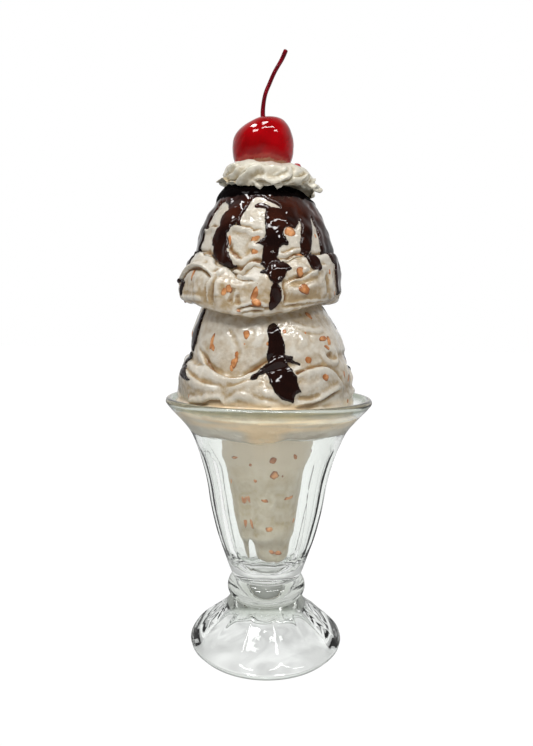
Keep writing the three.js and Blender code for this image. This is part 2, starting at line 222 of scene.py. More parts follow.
CREAM_FOLDS = [
    ("flange", 3.4, 1.8, [(-66, 259.4), (-53, 260.1), (-45, 260.4), (-37, 261.5), (-34, 263.4),
        (-35, 265.4)]),
    ("ridge", 1.8, 0.9, [(-62, 264.8), (-57, 264.6), (-47, 264.4), (-38, 263.3)]),
    ("groove", 1.6, 0.8, [(-64, 262.6), (-52, 262.4), (-42, 262.4)]),
    ("flange", 5.5, 2.5, [(-46, 253.6), (-38, 255.5), (-28, 257.8), (-20, 260.6), (-14, 261.8), (-8, 261.8),
        (0, 261)]),
    ("groove", 3, 1.6, [(-30, 253.6), (-25, 255.1), (-18, 257.5), (-10, 258.4), (-3, 256.9)]),
    ("ridge", 4.6, 1.7, [(-9, 258.4), (-3, 259.8), (4, 261.2), (14, 261.6), (24, 263)]),
    ("eave", 3.6, 2.4, [(-18, 256.6), (-13, 256), (-7, 255.8), (0, 254.6), (6, 254.2), (14, 255.4),
        (22, 257), (26, 259), (29, 262.8)]),
    ("groove", 1.8, 1.2, [(24, 257.6), (28, 260.2), (31, 263), (34, 265)]),
    ("ridge", 2, 2.2, [(-18, 256.4), (-15, 255.2), (-11, 253.2), (-4, 252.4), (4, 252.3), (10, 252.8),
        (16, 254)]),
    ("ridge", 1.2, 1, [(14, 255.4), (15, 253.2), (15.6, 250.8)]),
    ("flange", 4.2, 2, [(26, 257.4), (34, 257), (40, 257.9), (48, 260.4), (56, 262.8), (58, 264.6)]),
    ("groove", 2, 1.4, [(34, 255), (44, 256.6), (53, 259.6), (62, 263)]),
    ("ridge", 2.2, 1.6, [(45, 259), (49, 257.8), (53, 256), (60, 253)]),
    ("flange", 3.6, 2.4, [(52, 254), (60, 256.4), (68, 259.6), (78, 262.6)]),
    ("groove", 2, 1.4, [(62, 253), (72, 256), (84, 260)]),
    ("flange", 4, 2.6, [(60, 250.4), (72, 253), (84, 256), (96, 259.6), (106, 262)]),
    ("ridge", 2.4, 2.4, [(50, 251.4), (60, 250.8), (72, 251.2), (84, 252.4), (98, 254.8)]),
    ("ridge", 2, 3.8, [(-106, 260.2), (-96, 259.8), (-88, 258.8)]),
    ("groove", 2, 1.8, [(-82, 260), (-72, 258.2), (-62, 257)]),
    ("ridge", 1.1, 0.7, [(-68, 262.2), (-56, 262.8), (-46, 264), (-40, 265.4)]),
    ("ridge", 1.1, 0.7, [(-64, 257.6), (-52, 258.2), (-42, 259.6), (-34, 261.8), (-30, 264)]),
    ("ridge", 1.1, 0.7, [(-44, 256.6), (-35, 258.8), (-27, 261.4), (-22, 264)]),
    ("ridge", 1.1, 0.6, [(-24, 257.6), (-15, 260), (-6, 262.8), (2, 264.6)]),
    ("ridge", 1.1, 0.6, [(2, 257), (10, 258.4), (18, 260.6), (24, 264)]),
    ("ridge", 1.1, 0.6, [(32, 255.8), (40, 256), (50, 258.6), (60, 262)]),
    ("groove", 2, 1.2, [(-94, 262.8), (-82, 261.6), (-68, 259.6)]),
]

# Runs of fudge sauce: (azimuth, height, half width) along each run.
UPPER_RUNS = [
    [(-64, 252, 8), (-66, 246, 8), (-69, 240, 8.6), (-75, 233, 10.5), (-77, 226, 11), (-77, 219, 10)],
    [(-24, 245, 6.5), (-24, 239, 4.4), (-29, 236, 5), (-30.5, 232.4, 3.9), (-33, 229, 2.7),
     (-33.6, 225.8, 3.6), (-33, 221.8, 4.8), (-33, 218.8, 4.6), (-29, 215.4, 3.6), (-25, 213, 2.4)],
    [(-27, 213, 1.8), (-23, 211.2, 1), (-19, 211.6, 0.5)],
    [(-37, 230, 1.6), (-40, 226, 1.6), (-41.5, 222.6, 0.6)],
    [(-34, 216.6, 1), (-41, 217.2, 0.8)],
    [(-25, 244, 3.4), (-21, 239, 2), (-21, 236.3, 1.2)],
    [(22, 247, 8.5), (20, 242, 9.2), (17, 236.6, 8.6), (11.5, 232.5, 5.9), (9.6, 228.2, 4.7),
     (9, 224.6, 4.6)],
    [(10, 224, 2.2), (10, 220.8, 1.6), (10, 217.4, 1.4), (6, 216, 2.6), (7, 212.6, 4.3), (10, 209.8, 5),
     (9, 206.4, 3.7), (8.4, 203, 1.3), (9, 199.6, 2.6), (9, 196.3, 2.9), (8, 193.4, 2.3), (6, 191, 0.9)],
    [(6, 225, 2.5), (0, 223.4, 1.5), (-4, 222.5, 0.5)],
    [(14, 225, 2.6), (18, 223.5, 1.6)],
    [(25, 241, 4.2), (25, 236, 3.2), (24, 234, 2.4)],
    [(4, 219.5, 2.2), (4, 216, 2.6)],
    [(13, 211.3, 3.4), (16, 211, 2.2), (19.5, 210.6, 0.8)],
    [(5, 208.8, 1.8), (-0.5, 208, 0.6)],
    [(3, 212.6, 1.5), (-1, 212.6, 0.5)],
    [(45, 247, 7), (42, 241, 5), (40, 234.5, 3.8), (37, 228.1, 3.6), (35, 222.8, 3.5), (33, 218.4, 2.2),
     (35, 216.8, 1.8), (37, 215.2, 3.4), (39, 213, 3.6), (40, 211.4, 1.4)],
    [(68, 250, 9), (68, 242, 9), (65, 234, 8.4), (62, 227, 8.4), (61, 222, 7.6), (62, 219.6, 5),
     (65, 217.4, 3.4), (67, 214.8, 3.6), (69, 210.9, 5.2), (72, 206.9, 5.4), (76, 201.9, 2.6)],
    [(-76, 206, 1.6), (-64, 204.6, 1), (-66, 201, 1.6), (-67, 198, 0.8)],
    [(92, 248, 5), (96, 240, 3.2), (94, 232, 2.8), (95, 226, 3.4), (97, 221.5, 2)],
    [(128, 248, 6), (126, 239, 4.6), (129, 230, 3.6), (131, 222, 3.4), (130, 216, 2.2), (129, 211, 3),
     (128, 205, 2.6), (129, 200, 1.2)],
    [(160, 248, 5), (162, 240, 3.4), (160, 234, 2.6), (161, 229.5, 1.2)],
    [(190, 248, 6), (188, 240, 4.6), (192, 231, 3.8), (190, 223, 3.6), (188, 217, 2.2), (190, 212, 2.8),
     (192, 207.5, 1.4)],
    [(222, 248, 5), (224, 240, 3.6), (221, 232, 2.8), (223, 226, 3), (224, 221.5, 1.6)],
    [(252, 248, 5.5), (250, 240, 4), (254, 232, 3.2), (252, 224, 3.4), (251, 218, 2), (253, 212, 2.4),
     (254, 206.5, 1.2)],
]

# The lower edge of the fudge that covers the dome's top, the bare patches in it, and islets in those.
UPPER_CAP = [(-58, 246), (-43, 245), (-27, 241.6), (-19, 244.2), (-11, 246.6), (-1, 246.4), (7, 245.8),
             (13, 242), (22, 238.4), (31, 237.4), (38, 237.4), (47, 238.4), (56, 238), (64, 239), (78, 243),
             (92, 241), (110, 244), (128, 240), (145, 243.5), (160, 242), (176, 244), (190, 240),
             (206, 244), (222, 242), (238, 243), (252, 240), (276, 244)]
UPPER_BARE = [
    [(20.5, 229, 2.4), (23.5, 228.6, 2.6)],
    [(-43, 245, 0.7), (-46, 240, 1.3), (-50, 234, 1.6), (-52, 231, 1.4)],
    [(-8, 243.6, 2), (0, 243.2, 2.2), (9, 242.4, 1.4), (15, 241.3, 0.5)],
    [(50, 238, 0.35), (51, 234, 0.5), (50.5, 230.5, 0.6), (49.5, 226, 0.7), (48.5, 221, 0.6)],
]
UPPER_ISLETS = [
    [(-19.6, 235, 0.8), (-20, 233.2, 1.3), (-19, 231.8, 0.9)],
    [(-6, 241.6, 1), (-1, 241.9, 1.7), (5, 241.2, 1.2)],
]

# The runs on the lower scoop.
LOWER_RUNS = [
    [(6, 181, 2.9), (6.4, 179.6, 3.3), (7, 176.5, 3.5), (8, 172.1, 4.2), (7, 167.2, 4.4), (8, 162.8, 4.6),
     (10, 159.1, 6.2), (12, 155.4, 6.6), (13, 152, 5.6), (14, 148.9, 3.1), (17, 146, 0.7)],
    [(13, 167.3, 1), (18, 167, 0.6)],
    [(15, 165.8, 1), (23, 163.6, 0.6)],
    [(18, 152.5, 1.9), (21.5, 150.6, 0.5)],
    [(2, 162.2, 1.9), (-4, 158.9, 1.2), (-7, 157, 1.5)],
    [(-63, 190, 1.6), (-65, 184, 2.8), (-66, 177, 3.8), (-68, 171, 2.8)],
    [(-72, 166, 2), (-71, 161, 2.4)],
    [(-66, 159.2, 3), (-60, 156.4, 2.2), (-51, 154.4, 0.5)],
    [(98, 192, 2.6), (97, 184, 2.4), (99, 176, 3.2), (98, 168, 3.4), (97, 161, 2.4), (99, 156, 1.2)],
    [(152, 192, 3), (154, 183, 3), (152, 174, 3.8), (155, 166, 3.4), (154, 159, 2.6), (156, 152, 1.2)],
    [(214, 192, 2.6), (212, 184, 2.6), (215, 175, 3.4), (213, 167, 3), (214, 161, 1.4)],
    [(258, 190, 2), (260, 182, 1.8), (258, 175, 2.2), (259, 170, 1.2)],
]

# Nut pieces: (azimuth, height, width, length, turn in degrees).
UPPER_NUTS = [
    (-26, 225, 2, 6.6, 6), (-5, 225.1, 3.2, 5.6, -50), (-5, 218.2, 3.5, 3.8, 20), (22, 228.8, 6, 6.2, 0),
    (29, 218, 4.6, 3.8, -35), (26, 208.8, 4, 4.4, 10), (28, 200.6, 5.2, 5, 0), (24.5, 200.6, 2, 1.6, 80),
    (52, 210.1, 2, 2.6, 0), (61, 199.8, 2.8, 2.5, 30), (-51, 207.6, 1.8, 5.4, -28),
    (-23, 198.6, 3, 4.4, -20), (-20, 199.8, 3, 4, 0), (-4, 196.8, 3, 11, -14), (-3, 193.8, 5, 4, -30),
    (-14, 189.6, 3.4, 1.4, -15), (48, 228.4, 1.5, 2.6, 10), (-21, 239.8, 3, 0.9, 10),
]
LOWER_NUTS = [
    (-41, 173.4, 2.4, 8.6, -16), (-39.5, 171.2, 2.6, 4.6, 20), (-21, 164.6, 3.6, 6.4, -14),
    (-23, 161, 2, 4, 10), (-19.4, 168, 2.2, 3.6, 0), (-13, 178, 3.5, 4.4, 12), (-14, 173.3, 1, 1, 0),
    (2, 173.5, 1.8, 2.4, 30), (14, 179.7, 2.4, 2.4, 0), (30, 179, 1.4, 1.6, 0), (39, 187.6, 2.8, 5.2, 24),
    (45.5, 176.4, 6, 2.8, 8), (51, 174.6, 3, 5.4, 0), (47.5, 171.8, 4.8, 2.4, -28), (30, 165.7, 4.4, 4, 0),
    (40, 157.2, 4.6, 3.8, -30), (64, 157.6, 1.9, 4.2, 0), (70, 154.6, 1.6, 4.4, -14),
    (-53, 145.9, 1.2, 4.8, 4), (68, 143, 2.6, 2.6, 0),
]
PLUG_NUTS = [
    (-41, 113.4, 4.6, 1.6, 0), (-23, 109.8, 2.7, 2, 30), (8, 113, 4.2, 3.6, 0), (12, 103.9, 4.8, 4.8, 0),
    (-62, 97.3, 2.2, 3.6, 0), (-18, 100.2, 2.6, 2.2, 0), (-34, 89, 2.1, 5, 8), (-3, 89.1, 4.4, 2, -10),
    (33, 90.2, 6.8, 1.9, 4), (69, 105.8, 2.2, 4.5, 0), (-30, 75.1, 2, 5.2, 12), (58, 75.2, 3.4, 2.8, 0),
    (9, 72.5, 5, 3.2, 0), (21, 58.3, 4.8, 2.4, -35), (36, 114.5, 3.2, 2.4, 0),
]


# ---------------------------------------------------------------- handling meshes

# Vertices of the frame's solids that are as close as this are one.
WELD = 0.01


def choose(piece):
    """Makes a piece the only chosen object."""
    bpy.ops.object.select_all(action="DESELECT")
    piece.select_set(True)
    bpy.context.view_layer.objects.active = piece


def modify(piece, kind, **settings):
    """Adds a modifier to a piece and applies it."""
    choose(piece)
    modifier = piece.modifiers.new(kind.title(), kind)
    for name, value in settings.items():
        setattr(modifier, name, value)
    bpy.ops.object.modifier_apply(modifier=modifier.name)


def edit(piece, *steps):
    """Runs edit-mode operators on the whole of a piece: (operator, settings) for each."""
    choose(piece)
    bpy.ops.object.mode_set(mode="EDIT")
    for operator, settings in steps:
        bpy.ops.mesh.select_all(action="SELECT")
        operator(**settings)
    bpy.ops.object.mode_set(mode="OBJECT")


def welding(distance):
    return bpy.ops.mesh.remove_doubles, {"threshold": distance * MM}


def smooth_shaded(piece, edge_angle=None):
    choose(piece)
    if edge_angle is None:
        bpy.ops.object.shade_smooth()
    else:
        bpy.ops.object.shade_smooth_by_angle(angle=radians(edge_angle))


def read(items, field, kind, columns):
    """A field of all the items of a mesh, with a row for each."""
    found = np.empty(columns * len(items), kind)
    items.foreach_get(field, found)
    return found.reshape(-1, columns)


def points_of(piece):
    """A piece's vertices, in mm."""
    return read(piece.data.vertices, "co", np.float32, 3).astype(float) / MM


def normals_of(piece):
    return read(piece.data.vertex_normals, "vector", np.float32, 3).astype(float)


def move_points(piece, points):
    piece.data.vertices.foreach_set("co", (points * MM).astype(np.float32).ravel())
    piece.data.update()


def mark(piece, name, values):
    """Stores a value for each vertex, for the paint."""
    layer = piece.data.attributes.new(name, "FLOAT", "POINT")
    layer.data.foreach_set("value", values.astype(np.float32))


def relaxed(points, piece, rounds):
    """A piece's points averaged with their neighbours, a number of times."""
    first, second = read(piece.data.edges, "vertices", np.int32, 2).T
    count = len(points)
    neighbours = np.bincount(first, minlength=count) + np.bincount(second, minlength=count)
    for _ in range(rounds):
        total = np.stack([np.bincount(first, points[second, axis], count)
                          + np.bincount(second, points[first, axis], count) for axis in range(3)], axis=1)
        points = (points + total / neighbours[:, None]) / 2
    return points


@contextmanager
def open_mesh(piece):
    """A piece's mesh, to be changed by bmesh operators."""
    shape = bmesh.new()
    shape.from_mesh(piece.data)
    yield shape
    shape.to_mesh(piece.data)
    shape.free()


def new_piece(name, mesh):
    piece = bpy.data.objects.new(name, mesh)
    bpy.context.scene.collection.objects.link(piece)
    return piece


def cast_copy(node_name, name):
    """A copy of one of the frame's solids, with its facets joined up."""
    piece = new_piece(name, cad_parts[node_name].data.copy())
    piece.data.materials.clear()
    edit(piece, welding(WELD))
    return piece


def remesh(piece, grain, rounds):
    """Meshes a piece evenly and smooths its facets out."""
    modify(piece, "REMESH", mode="VOXEL", voxel_size=grain * MM)
    modify(piece, "SMOOTH", factor=0.5, iterations=rounds)


def spline(rows, spacing):
    """A smooth curve through the rows, in steps of about one spacing (Catmull-Rom)."""
    rows = np.array(rows, float)
    padded = np.vstack([2 * rows[0] - rows[1], rows, 2 * rows[-1] - rows[-2]])
    stretches = []
    for a, b, c, d in zip(padded, padded[1:], padded[2:], padded[3:]):
        steps = max(1, round(np.linalg.norm((c - b)[:2]) / spacing))
        t = (np.arange(steps) / steps)[:, None]
        stretches.append((2 * b + (c - a) * t + (2 * a - 5 * b + 4 * c - d) * t**2
                          + (3 * b - a - 3 * c + d) * t**3) / 2)
    return np.vstack([*stretches, rows[-1:]])


def eased(x):
    """Smooth step from 0 to 1, held outside."""
    x = np.clip(x, 0, 1)
    return x * x * (3 - 2 * x)


def rising(x, start, full):
    return eased((x - start) / (full - start))


def band(x, start, full, fading, end):
    """A smooth step up and a smooth step down."""
    return rising(x, start, full) * (1 - rising(x, fading, end))


def waves(points, frequency, shift=Vector((0, 0, 0))):
    """Smooth noise at each point, from -1 to 1."""
    return np.array([noise.noise(Vector(point) * frequency + shift) for point in points])


def by_azimuth(table, azimuths):
    """Looks azimuths up in a table of (azimuth, value)."""
    return np.interp(azimuths, *np.array(table).T, period=360)


def bowl_radius(height):
    """The radius of the bowl's inner wall, in mm."""
    radii, heights = np.array(bowl_inner).T
    return np.interp(height, heights, radii)


# ---------------------------------------------------------------- sculpting

# A flange falls off sharply past its crest, over this part of its width, into a shallow hollow.
CREST = 0.24
CREST_HOLLOW = 0.7
HOLLOW_WIDTH = 0.6
STROKE_STEP = 1.0
STROKE_FADE = 0.2

# A place is found by a ray from this far out, in metres. If it misses, the nearest point is taken, seen from
# this much further in.
RAY_START = 0.1
MISSED = 0.06

# Rounds of smoothing that tell fine hollows from broad ones, the weight of fine ones, and that of slope,
# which lays painted shade on what faces down and painted light on what faces up.
FINE_ROUNDS = 5
BROAD_ROUNDS = 24
FINE_HOLLOWS = 2.5
LIGHT_BY_FACING = 0.35


def stroke_profile(kind, across):
    """Relief across a stroke, from -1 (below it) over 0 (on it) to 1 (above it)."""
    away = np.abs(across)
    bump = np.clip(1 - away**2, 0, 1) ** 2
    if kind == "ridge":
        return bump
    if kind in ("groove", "pit"):
        return -bump
    if kind == "eave":
        across = -across
    fall = (1 + CREST_HOLLOW) * eased(across / CREST)
    rise = CREST_HOLLOW * eased((across - CREST) / HOLLOW_WIDTH)
    return np.where(across < 0, 1 - eased(-across), 1 - fall + rise)


class Skin:
    """A piece's surface while it is worked on: where places on it are, and the relief given to it so far."""

    def __init__(self, piece, middle):
        self.piece = piece
        self.middle = middle
        self.refresh()

    def refresh(self):
        self.points = points_of(self.piece)
        self.normals = normals_of(self.piece)
        self.relief = np.zeros(len(self.points))
        self.tree = BVHTree.FromObject(self.piece, bpy.context.evaluated_depsgraph_get())

    def move(self):
        """Makes the piece follow its changed points."""
        move_points(self.piece, self.points)
        self.refresh()

    def azimuths(self, points=None):
        points = self.points if points is None else points
        return np.degrees(np.arctan2(points[:, 0] - self.middle, -points[:, 1]))

    def place(self, azimuth, height):
        """The point on the surface at a place, in mm, and the normal there."""
        turn = radians(azimuth)
        outward = Vector((sin(turn), -cos(turn), 0))
        start = Vector((self.middle, 0, height)) * MM + outward * RAY_START
        point, normal, _, _ = self.tree.ray_cast(start, -outward)
        if point is None:
            point, normal, _, _ = self.tree.find_nearest(start - outward * MISSED)
        return np.array(point) / MM, np.array(normal)

    def line(self, rows, spacing):
        """Points and normals on the surface along a line of places, with the line's further columns."""
        curve = spline(rows, spacing)
        found = [self.place(azimuth, height) for azimuth, height in curve[:, :2]]
        return np.array([f[0] for f in found]), np.array([f[1] for f in found]), curve[:, 2:]

    def stroke(self, kind, width, height, rows):
        """Works one stroke into the relief. It fades out at both ends."""
        line, normals, _ = self.line(rows, STROKE_STEP)
        near = in_box(self.points, line, width)
        gaps = self.points[near][:, None] - line[None]
        distance = np.linalg.norm(gaps, axis=2)
        nearest = distance.argmin(1)
        row = np.arange(len(near))
        distance, gap = distance[row, nearest], gaps[row, nearest]
        upward = np.cross(normals, np.gradient(line, axis=0))
        side = np.sign((gap * upward[nearest]).sum(1))
        along = nearest / (len(line) - 1)
        fade = eased(np.minimum(along, 1 - along) / STROKE_FADE) if kind != "pit" else 1
        reach = stroke_profile(kind, np.clip(distance / width, 0, 1) * side)
        self.relief[near] += height * fade * reach

    def sculpt(self, folds, grains):
        """Works in the folds, and then the uneven grain of handwork: (size, height) for each."""
        for fold in folds:
            self.stroke(*fold)
        self.points += self.normals * self.relief[:, None]
        move_points(self.piece, self.points)
        for size, height in grains:
            roughen(self.piece, size, height)
        self.refresh()

    def mark_wash_and_shade(self, extra=0):
        """Stores the wash: antique wash and painted shade in hollows, painted shade facing down, painted
        light facing up.
        """
        close = relaxed(self.points, self.piece, FINE_ROUNDS)
        smooth = relaxed(close, self.piece, BROAD_ROUNDS)
        hollow = smooth + FINE_HOLLOWS * close - (1 + FINE_HOLLOWS) * self.points
        depth = (hollow * self.normals).sum(1)
        # Painted shade and light by slope; extra adds painted shade where positive and painted light where
        # negative.
        mark(self.piece, "hollow", depth - LIGHT_BY_FACING * self.normals[:, 2] + extra)


def in_box(points, line, reach):
    """Which points are in a box round a line."""
    inside = (points > line.min(0) - reach) & (points < line.max(0) + reach)
    return np.flatnonzero(inside.all(1))


def roughen(piece, size, height):
    """Uneven relief of a grain size, in mm."""
    texture = bpy.data.textures.new(piece.name + "_relief", "CLOUDS")
    texture.noise_scale = size * MM
    modify(piece, "DISPLACE", texture=texture, strength=height * MM, mid_level=0.5, texture_coords="LOCAL")


def fine_cast(node_name, name, middle, grain, rounds):
    """The skin of a finely meshed copy of one of the frame's solids."""
    piece = cast_copy(node_name, name)
    remesh(piece, grain, rounds)
    return Skin(piece, middle)


# ---------------------------------------------------------------- the pieces of food

# The relief of handwork on each piece: (grain size, height), in mm.
LOWER_GRAINS = [(14, 1.6), (5, 0.6)]
UPPER_GRAINS = [(12, 1.8), (5, 0.9)]
PLUG_GRAINS = [(16, 2), (7, 1.1)]
CREAM_GRAINS = [(7, 1.2), (2.2, 0.45)]
CHERRY_GRAIN = (11, 0.9)

# Below, a pair is where an effect starts and where it is full, and four are also where it fades and ends.
# A shade is painted shade, how much more of the wash is laid on; painted light is how much less.

# The lower scoop in the flare: its neck under the flare, the soft lower edge of what touches the wall, and
# how far from the wall the cast may be and still reach it.
NECK = 2.5
FLARE_EDGE = 1.5
FLARE_TOP = (141, 143)
WALL_NEAR = 6
WALL_PULL = 3

# Its paint: painted shade under the skirt, painted light in the flare and by the rim where the glass shades
# it, and gold streaks in the flare, more in front, the food's peach colour lightened as painted light.
ABOVE_FLARE = (140, 143)
CLEAR_OF_RIM = (144, 148)
UNDER_SKIRT = (181, 186)
SKIRT_SHADE = 0.3
FLARE_PAINTED_LIGHT = 1.2
RIM_PAINTED_LIGHT = 0.3
GOLD = 0.9
GOLD_BOTTOM = 130.5
GOLD_EDGE = 2
GOLD_TOP = (142, 147)
GOLD_SPREAD = ((0, 40, 180), (1, 0.45, 0.45))
STREAKS = (0.07, 0.07, 0.8)
BLOB_TOP = (132, 135)

# The upper scoop, by height: its lip, skirt and dome, the skirt's low corner, and the dome's shoulder,
# which also starts some way out from the middle; then painted shade low on the skirt, and from the dome's
# foot up its whiter paint with painted light.
LIP_BAND = (198, 218, 219, 231)
SKIRT_BAND = (186, 192, 216, 224)
DOME_BAND = (216, 224, 246, 251)
CORNER_TOP = (190, 202)
SHOULDER_INSIDE = (5, 14)
SHOULDER_BOTTOM = (243, 252)
SKIRT_SIDE = (200, 208)
DOME_FOOT = (214, 222)
DOME_PAINTED_LIGHT = 0.4

# The plug, by height: where it is drawn up into the lower scoop, and where painted light makes it lighter
# towards the top.
PLUG_TOP = (108, 118)
PLUG_PAINTED_LIGHT = (92, 118)

# The cream: how its front is smoothed, distances from its middle, and heights of its foot, side and top.
CREAM_CALM_ROUNDS = 200
CREAM_CALM_SWELL = 0.5
CREAM_RIM = (16, 21)
CREAM_OUTSIDE = (17, 25)
CREAM_FOOT = (252, 261)
CREAM_SIDE = (250, 254)
CREAM_TOP = (257, 264)

# The shade on the cream round the cherry, and how far from it.
CHERRY_SHADE = 1.2
BY_CHERRY = (0.4, 1.8)

# One rope at the back: its crest and the groove behind it, from where it starts. Some ropes stand out more.
ROPE_CREST = [(0, 252.5), (8, 256), (18, 260.5), (30, 264.5)]
ROPE_GROOVE = [(12, 252), (20, 256), (30, 260), (41, 264)]
ROPE_WIDTH = 4.6
ROPE_LIFT = 2.2
ROPE_LIFT_VARIES = 0.8
GROOVE_WIDTH = 2
GROOVE_DEPTH = 1.2

# How far the cherry's top is pressed down, how much more at its left, and how far its cheeks bulge.
CHERRY_PRESSED = 0.8
CHERRY_SHOULDER = 1.7
CHERRY_CHEEKS = 1.7


def flare_bottom(azimuths):
    """How far down the food touches the bowl's wall: to a wavering edge, and lower in front."""
    waver = sum(height * np.sin(np.radians(count * azimuths + phase)) for count, phase, height in FLARE_WAVES)
    return FLARE_BOTTOM + FLARE_WAVER * waver - BLOB_DROP * in_blob(azimuths)


def in_blob(azimuths):
    return np.exp(-((azimuths / BLOB_WIDTH) ** 4))


def fill_flare(skin):
    """Lets the lower scoop fill the bowl's flare right to the wall, and narrows it under that to the plug."""
    drop = flare_bottom(skin.azimuths())
    narrowed = PLUG_WAIST + (1 - PLUG_WAIST) * eased((skin.points[:, 2] - drop + NECK) / NECK)
    skin.points[:, :2] *= narrowed[:, None]
    move_points(skin.piece, skin.points)
    remesh(skin.piece, SCOOP_GRAIN, rounds=3)
    skin.refresh()
    height = skin.points[:, 2]
    from_axis = np.hypot(skin.points[:, 0], skin.points[:, 1])
    wall = bowl_radius(height) + WALL_TOUCH
    in_flare = eased((height - flare_bottom(skin.azimuths())) / FLARE_EDGE) * (1 - rising(height, *FLARE_TOP))
    pressed = in_flare * eased((from_axis - wall + WALL_NEAR) / WALL_PULL)
    skin.points[:, :2] *= (1 + pressed * (wall / np.maximum(from_axis, 1) - 1))[:, None]
    skin.move()


def make_lower_scoop():
    skin = fine_cast("lower_scoop", "lower_scoop_cast", LOWER_MIDDLE, SCOOP_GRAIN, rounds=12)
    fill_flare(skin)
    skin.sculpt(LOWER_FOLDS, LOWER_GRAINS)
    height = skin.points[:, 2]
    above_flare = rising(height, *ABOVE_FLARE)
    by_rim = 1 - rising(height, *CLEAR_OF_RIM)
    shaded = SKIRT_SHADE * rising(height, *UNDER_SKIRT)
    # Painted shade under the upper skirt; painted light in the flare and by the rim, which the glass and its
    # lip shade.
    skin.mark_wash_and_shade(shaded + FLARE_PAINTED_LIGHT * (above_flare - 1) - RIM_PAINTED_LIGHT * by_rim * above_flare)
    streaks = waves(skin.points * STREAKS, 1)
    # Gold: the food's peach colour, lightened as painted light where the glass shades it.
    golden = eased((height - GOLD_BOTTOM - streaks) / GOLD_EDGE) * (1 - rising(height, *GOLD_TOP))
    golden *= GOLD + GOLD * streaks
    blob = (1 - rising(height, *BLOB_TOP)) * in_blob(skin.azimuths())
    mark(skin.piece, "golden", golden * np.interp(np.abs(skin.azimuths()), *GOLD_SPREAD) + blob)
    smooth_shaded(skin.piece)
    return skin


def reshape_upper(skin):
    """Draws the skirt's lip up and down, takes in the left side and raises the dome's shoulder."""
    points = skin.points
    azimuth = skin.azimuths()
    height = points[:, 2].copy()
    points[:, 2] += by_azimuth(SKIRT_LIP, azimuth) * band(height, *LIP_BAND)
    radius = np.hypot(points[:, 0] - skin.middle, points[:, 1])
    taken = by_azimuth(SKIRT_WAIST, azimuth) * band(height, *SKIRT_BAND)
    taken += by_azimuth(DOME_WAIST, azimuth) * band(height, *DOME_BAND)
    taken += by_azimuth(SKIRT_CORNER, azimuth) * (1 - rising(height, *CORNER_TOP))
    risen = by_azimuth(DOME_SHOULDER, azimuth) * rising(radius, *SHOULDER_INSIDE)
    points[:, 2] += risen * rising(height, *SHOULDER_BOTTOM)
    points[:, 0] += (points[:, 0] - skin.middle) / radius * taken
    points[:, 1] *= 1 + taken / radius
    skin.move()


def make_upper_scoop():
    skin = fine_cast("upper_scoop", "upper_scoop_cast", UPPER_MIDDLE, SCOOP_GRAIN, rounds=12)
    reshape_upper(skin)
    skin.sculpt(UPPER_FOLDS, UPPER_GRAINS)
    height = skin.points[:, 2]
    # Painted shade on the skirt's lower side, and painted light with whiter paint on the dome.
    shaded = SKIRT_SHADE * (1 - rising(height, *SKIRT_SIDE))
    skin.mark_wash_and_shade(shaded - DOME_PAINTED_LIGHT * rising(height, *DOME_FOOT))
    smooth_shaded(skin.piece)
    return skin


def make_plug():
    skin = fine_cast("ice_cream_plug", "plug_cast", PLUG_MIDDLE, PLUG_GRAIN, rounds=10)
    skin.points[:, 2] += PLUG_RISE * rising(skin.points[:, 2], *PLUG_TOP)
    skin.sculpt([], PLUG_GRAINS)
    skin.mark_wash_and_shade()
    # Painted light: lighter towards the top, where the flare keeps the lamps off.
    mark(skin.piece, "painted_light", rising(skin.points[:, 2], *PLUG_PAINTED_LIGHT))
    smooth_shaded(skin.piece)
    return skin


def reshape_cream(skin):
    """Smooths the front, presses the top down, lifts the lower edge and draws the sides in."""
    points = skin.points
    calm = relaxed(points, skin.piece, CREAM_CALM_ROUNDS)
    from_middle = np.hypot(points[:, 0] - CREAM_MIDDLE, points[:, 1])
    calm_radius = np.hypot(calm[:, 0] - CREAM_MIDDLE, calm[:, 1]) + CREAM_CALM_SWELL
    calmed = by_azimuth(CREAM_CALM, skin.azimuths())
    scale = 1 + (calm_radius / from_middle - 1) * calmed * rising(from_middle, *CREAM_RIM)
    points[:, 0] = CREAM_MIDDLE + (points[:, 0] - CREAM_MIDDLE) * scale
    points[:, 1] *= scale
    azimuth = skin.azimuths()
    points[:, 2] -= by_azimuth(CREAM_PRESSED, azimuth) * np.clip(points[:, 2] - CREAM_SHOULDER, 0, None)
    low = 1 - rising(points[:, 2], *CREAM_FOOT)
    points[:, 2] += by_azimuth(CREAM_LIFTED, azimuth) * rising(from_middle, *CREAM_OUTSIDE) * low
    skin.move()
    azimuth, height = skin.azimuths(), skin.points[:, 2]
    brow = rising(height, *CREAM_TOP)
    drawn = by_azimuth(CREAM_WAIST, azimuth) * (1 - brow) + by_azimuth(CREAM_BROW, azimuth) * brow
    skin.relief += rising(height, *CREAM_SIDE) * drawn


def make_cream():
    """The piped cream: broad leaning folds in front, and ropes behind."""
    skin = fine_cast("whipped_cream", "cream_cast", CREAM_MIDDLE, CREAM_GRAIN, rounds=14)
    reshape_cream(skin)
    ropes = []
    for turn in range(*CREAM_BACK_TURNS):
        lift = ROPE_LIFT + ROPE_LIFT_VARIES * sin(turn * 1.7)
        crest, groove = ([(turn + azimuth, height) for azimuth, height in line]
                         for line in (ROPE_CREST, ROPE_GROOVE))
        ropes += [("flange", ROPE_WIDTH, lift, crest), ("groove", GROOVE_WIDTH, GROOVE_DEPTH, groove)]
    skin.sculpt(CREAM_FOLDS + ropes, CREAM_GRAINS)
    from_cherry = np.linalg.norm(skin.points - CHERRY_MIDDLE, axis=1) - CHERRY_RADIUS
    skin.mark_wash_and_shade(CHERRY_SHADE * (1 - rising(from_cherry, *BY_CHERRY)))
    smooth_shaded(skin.piece)
    return skin


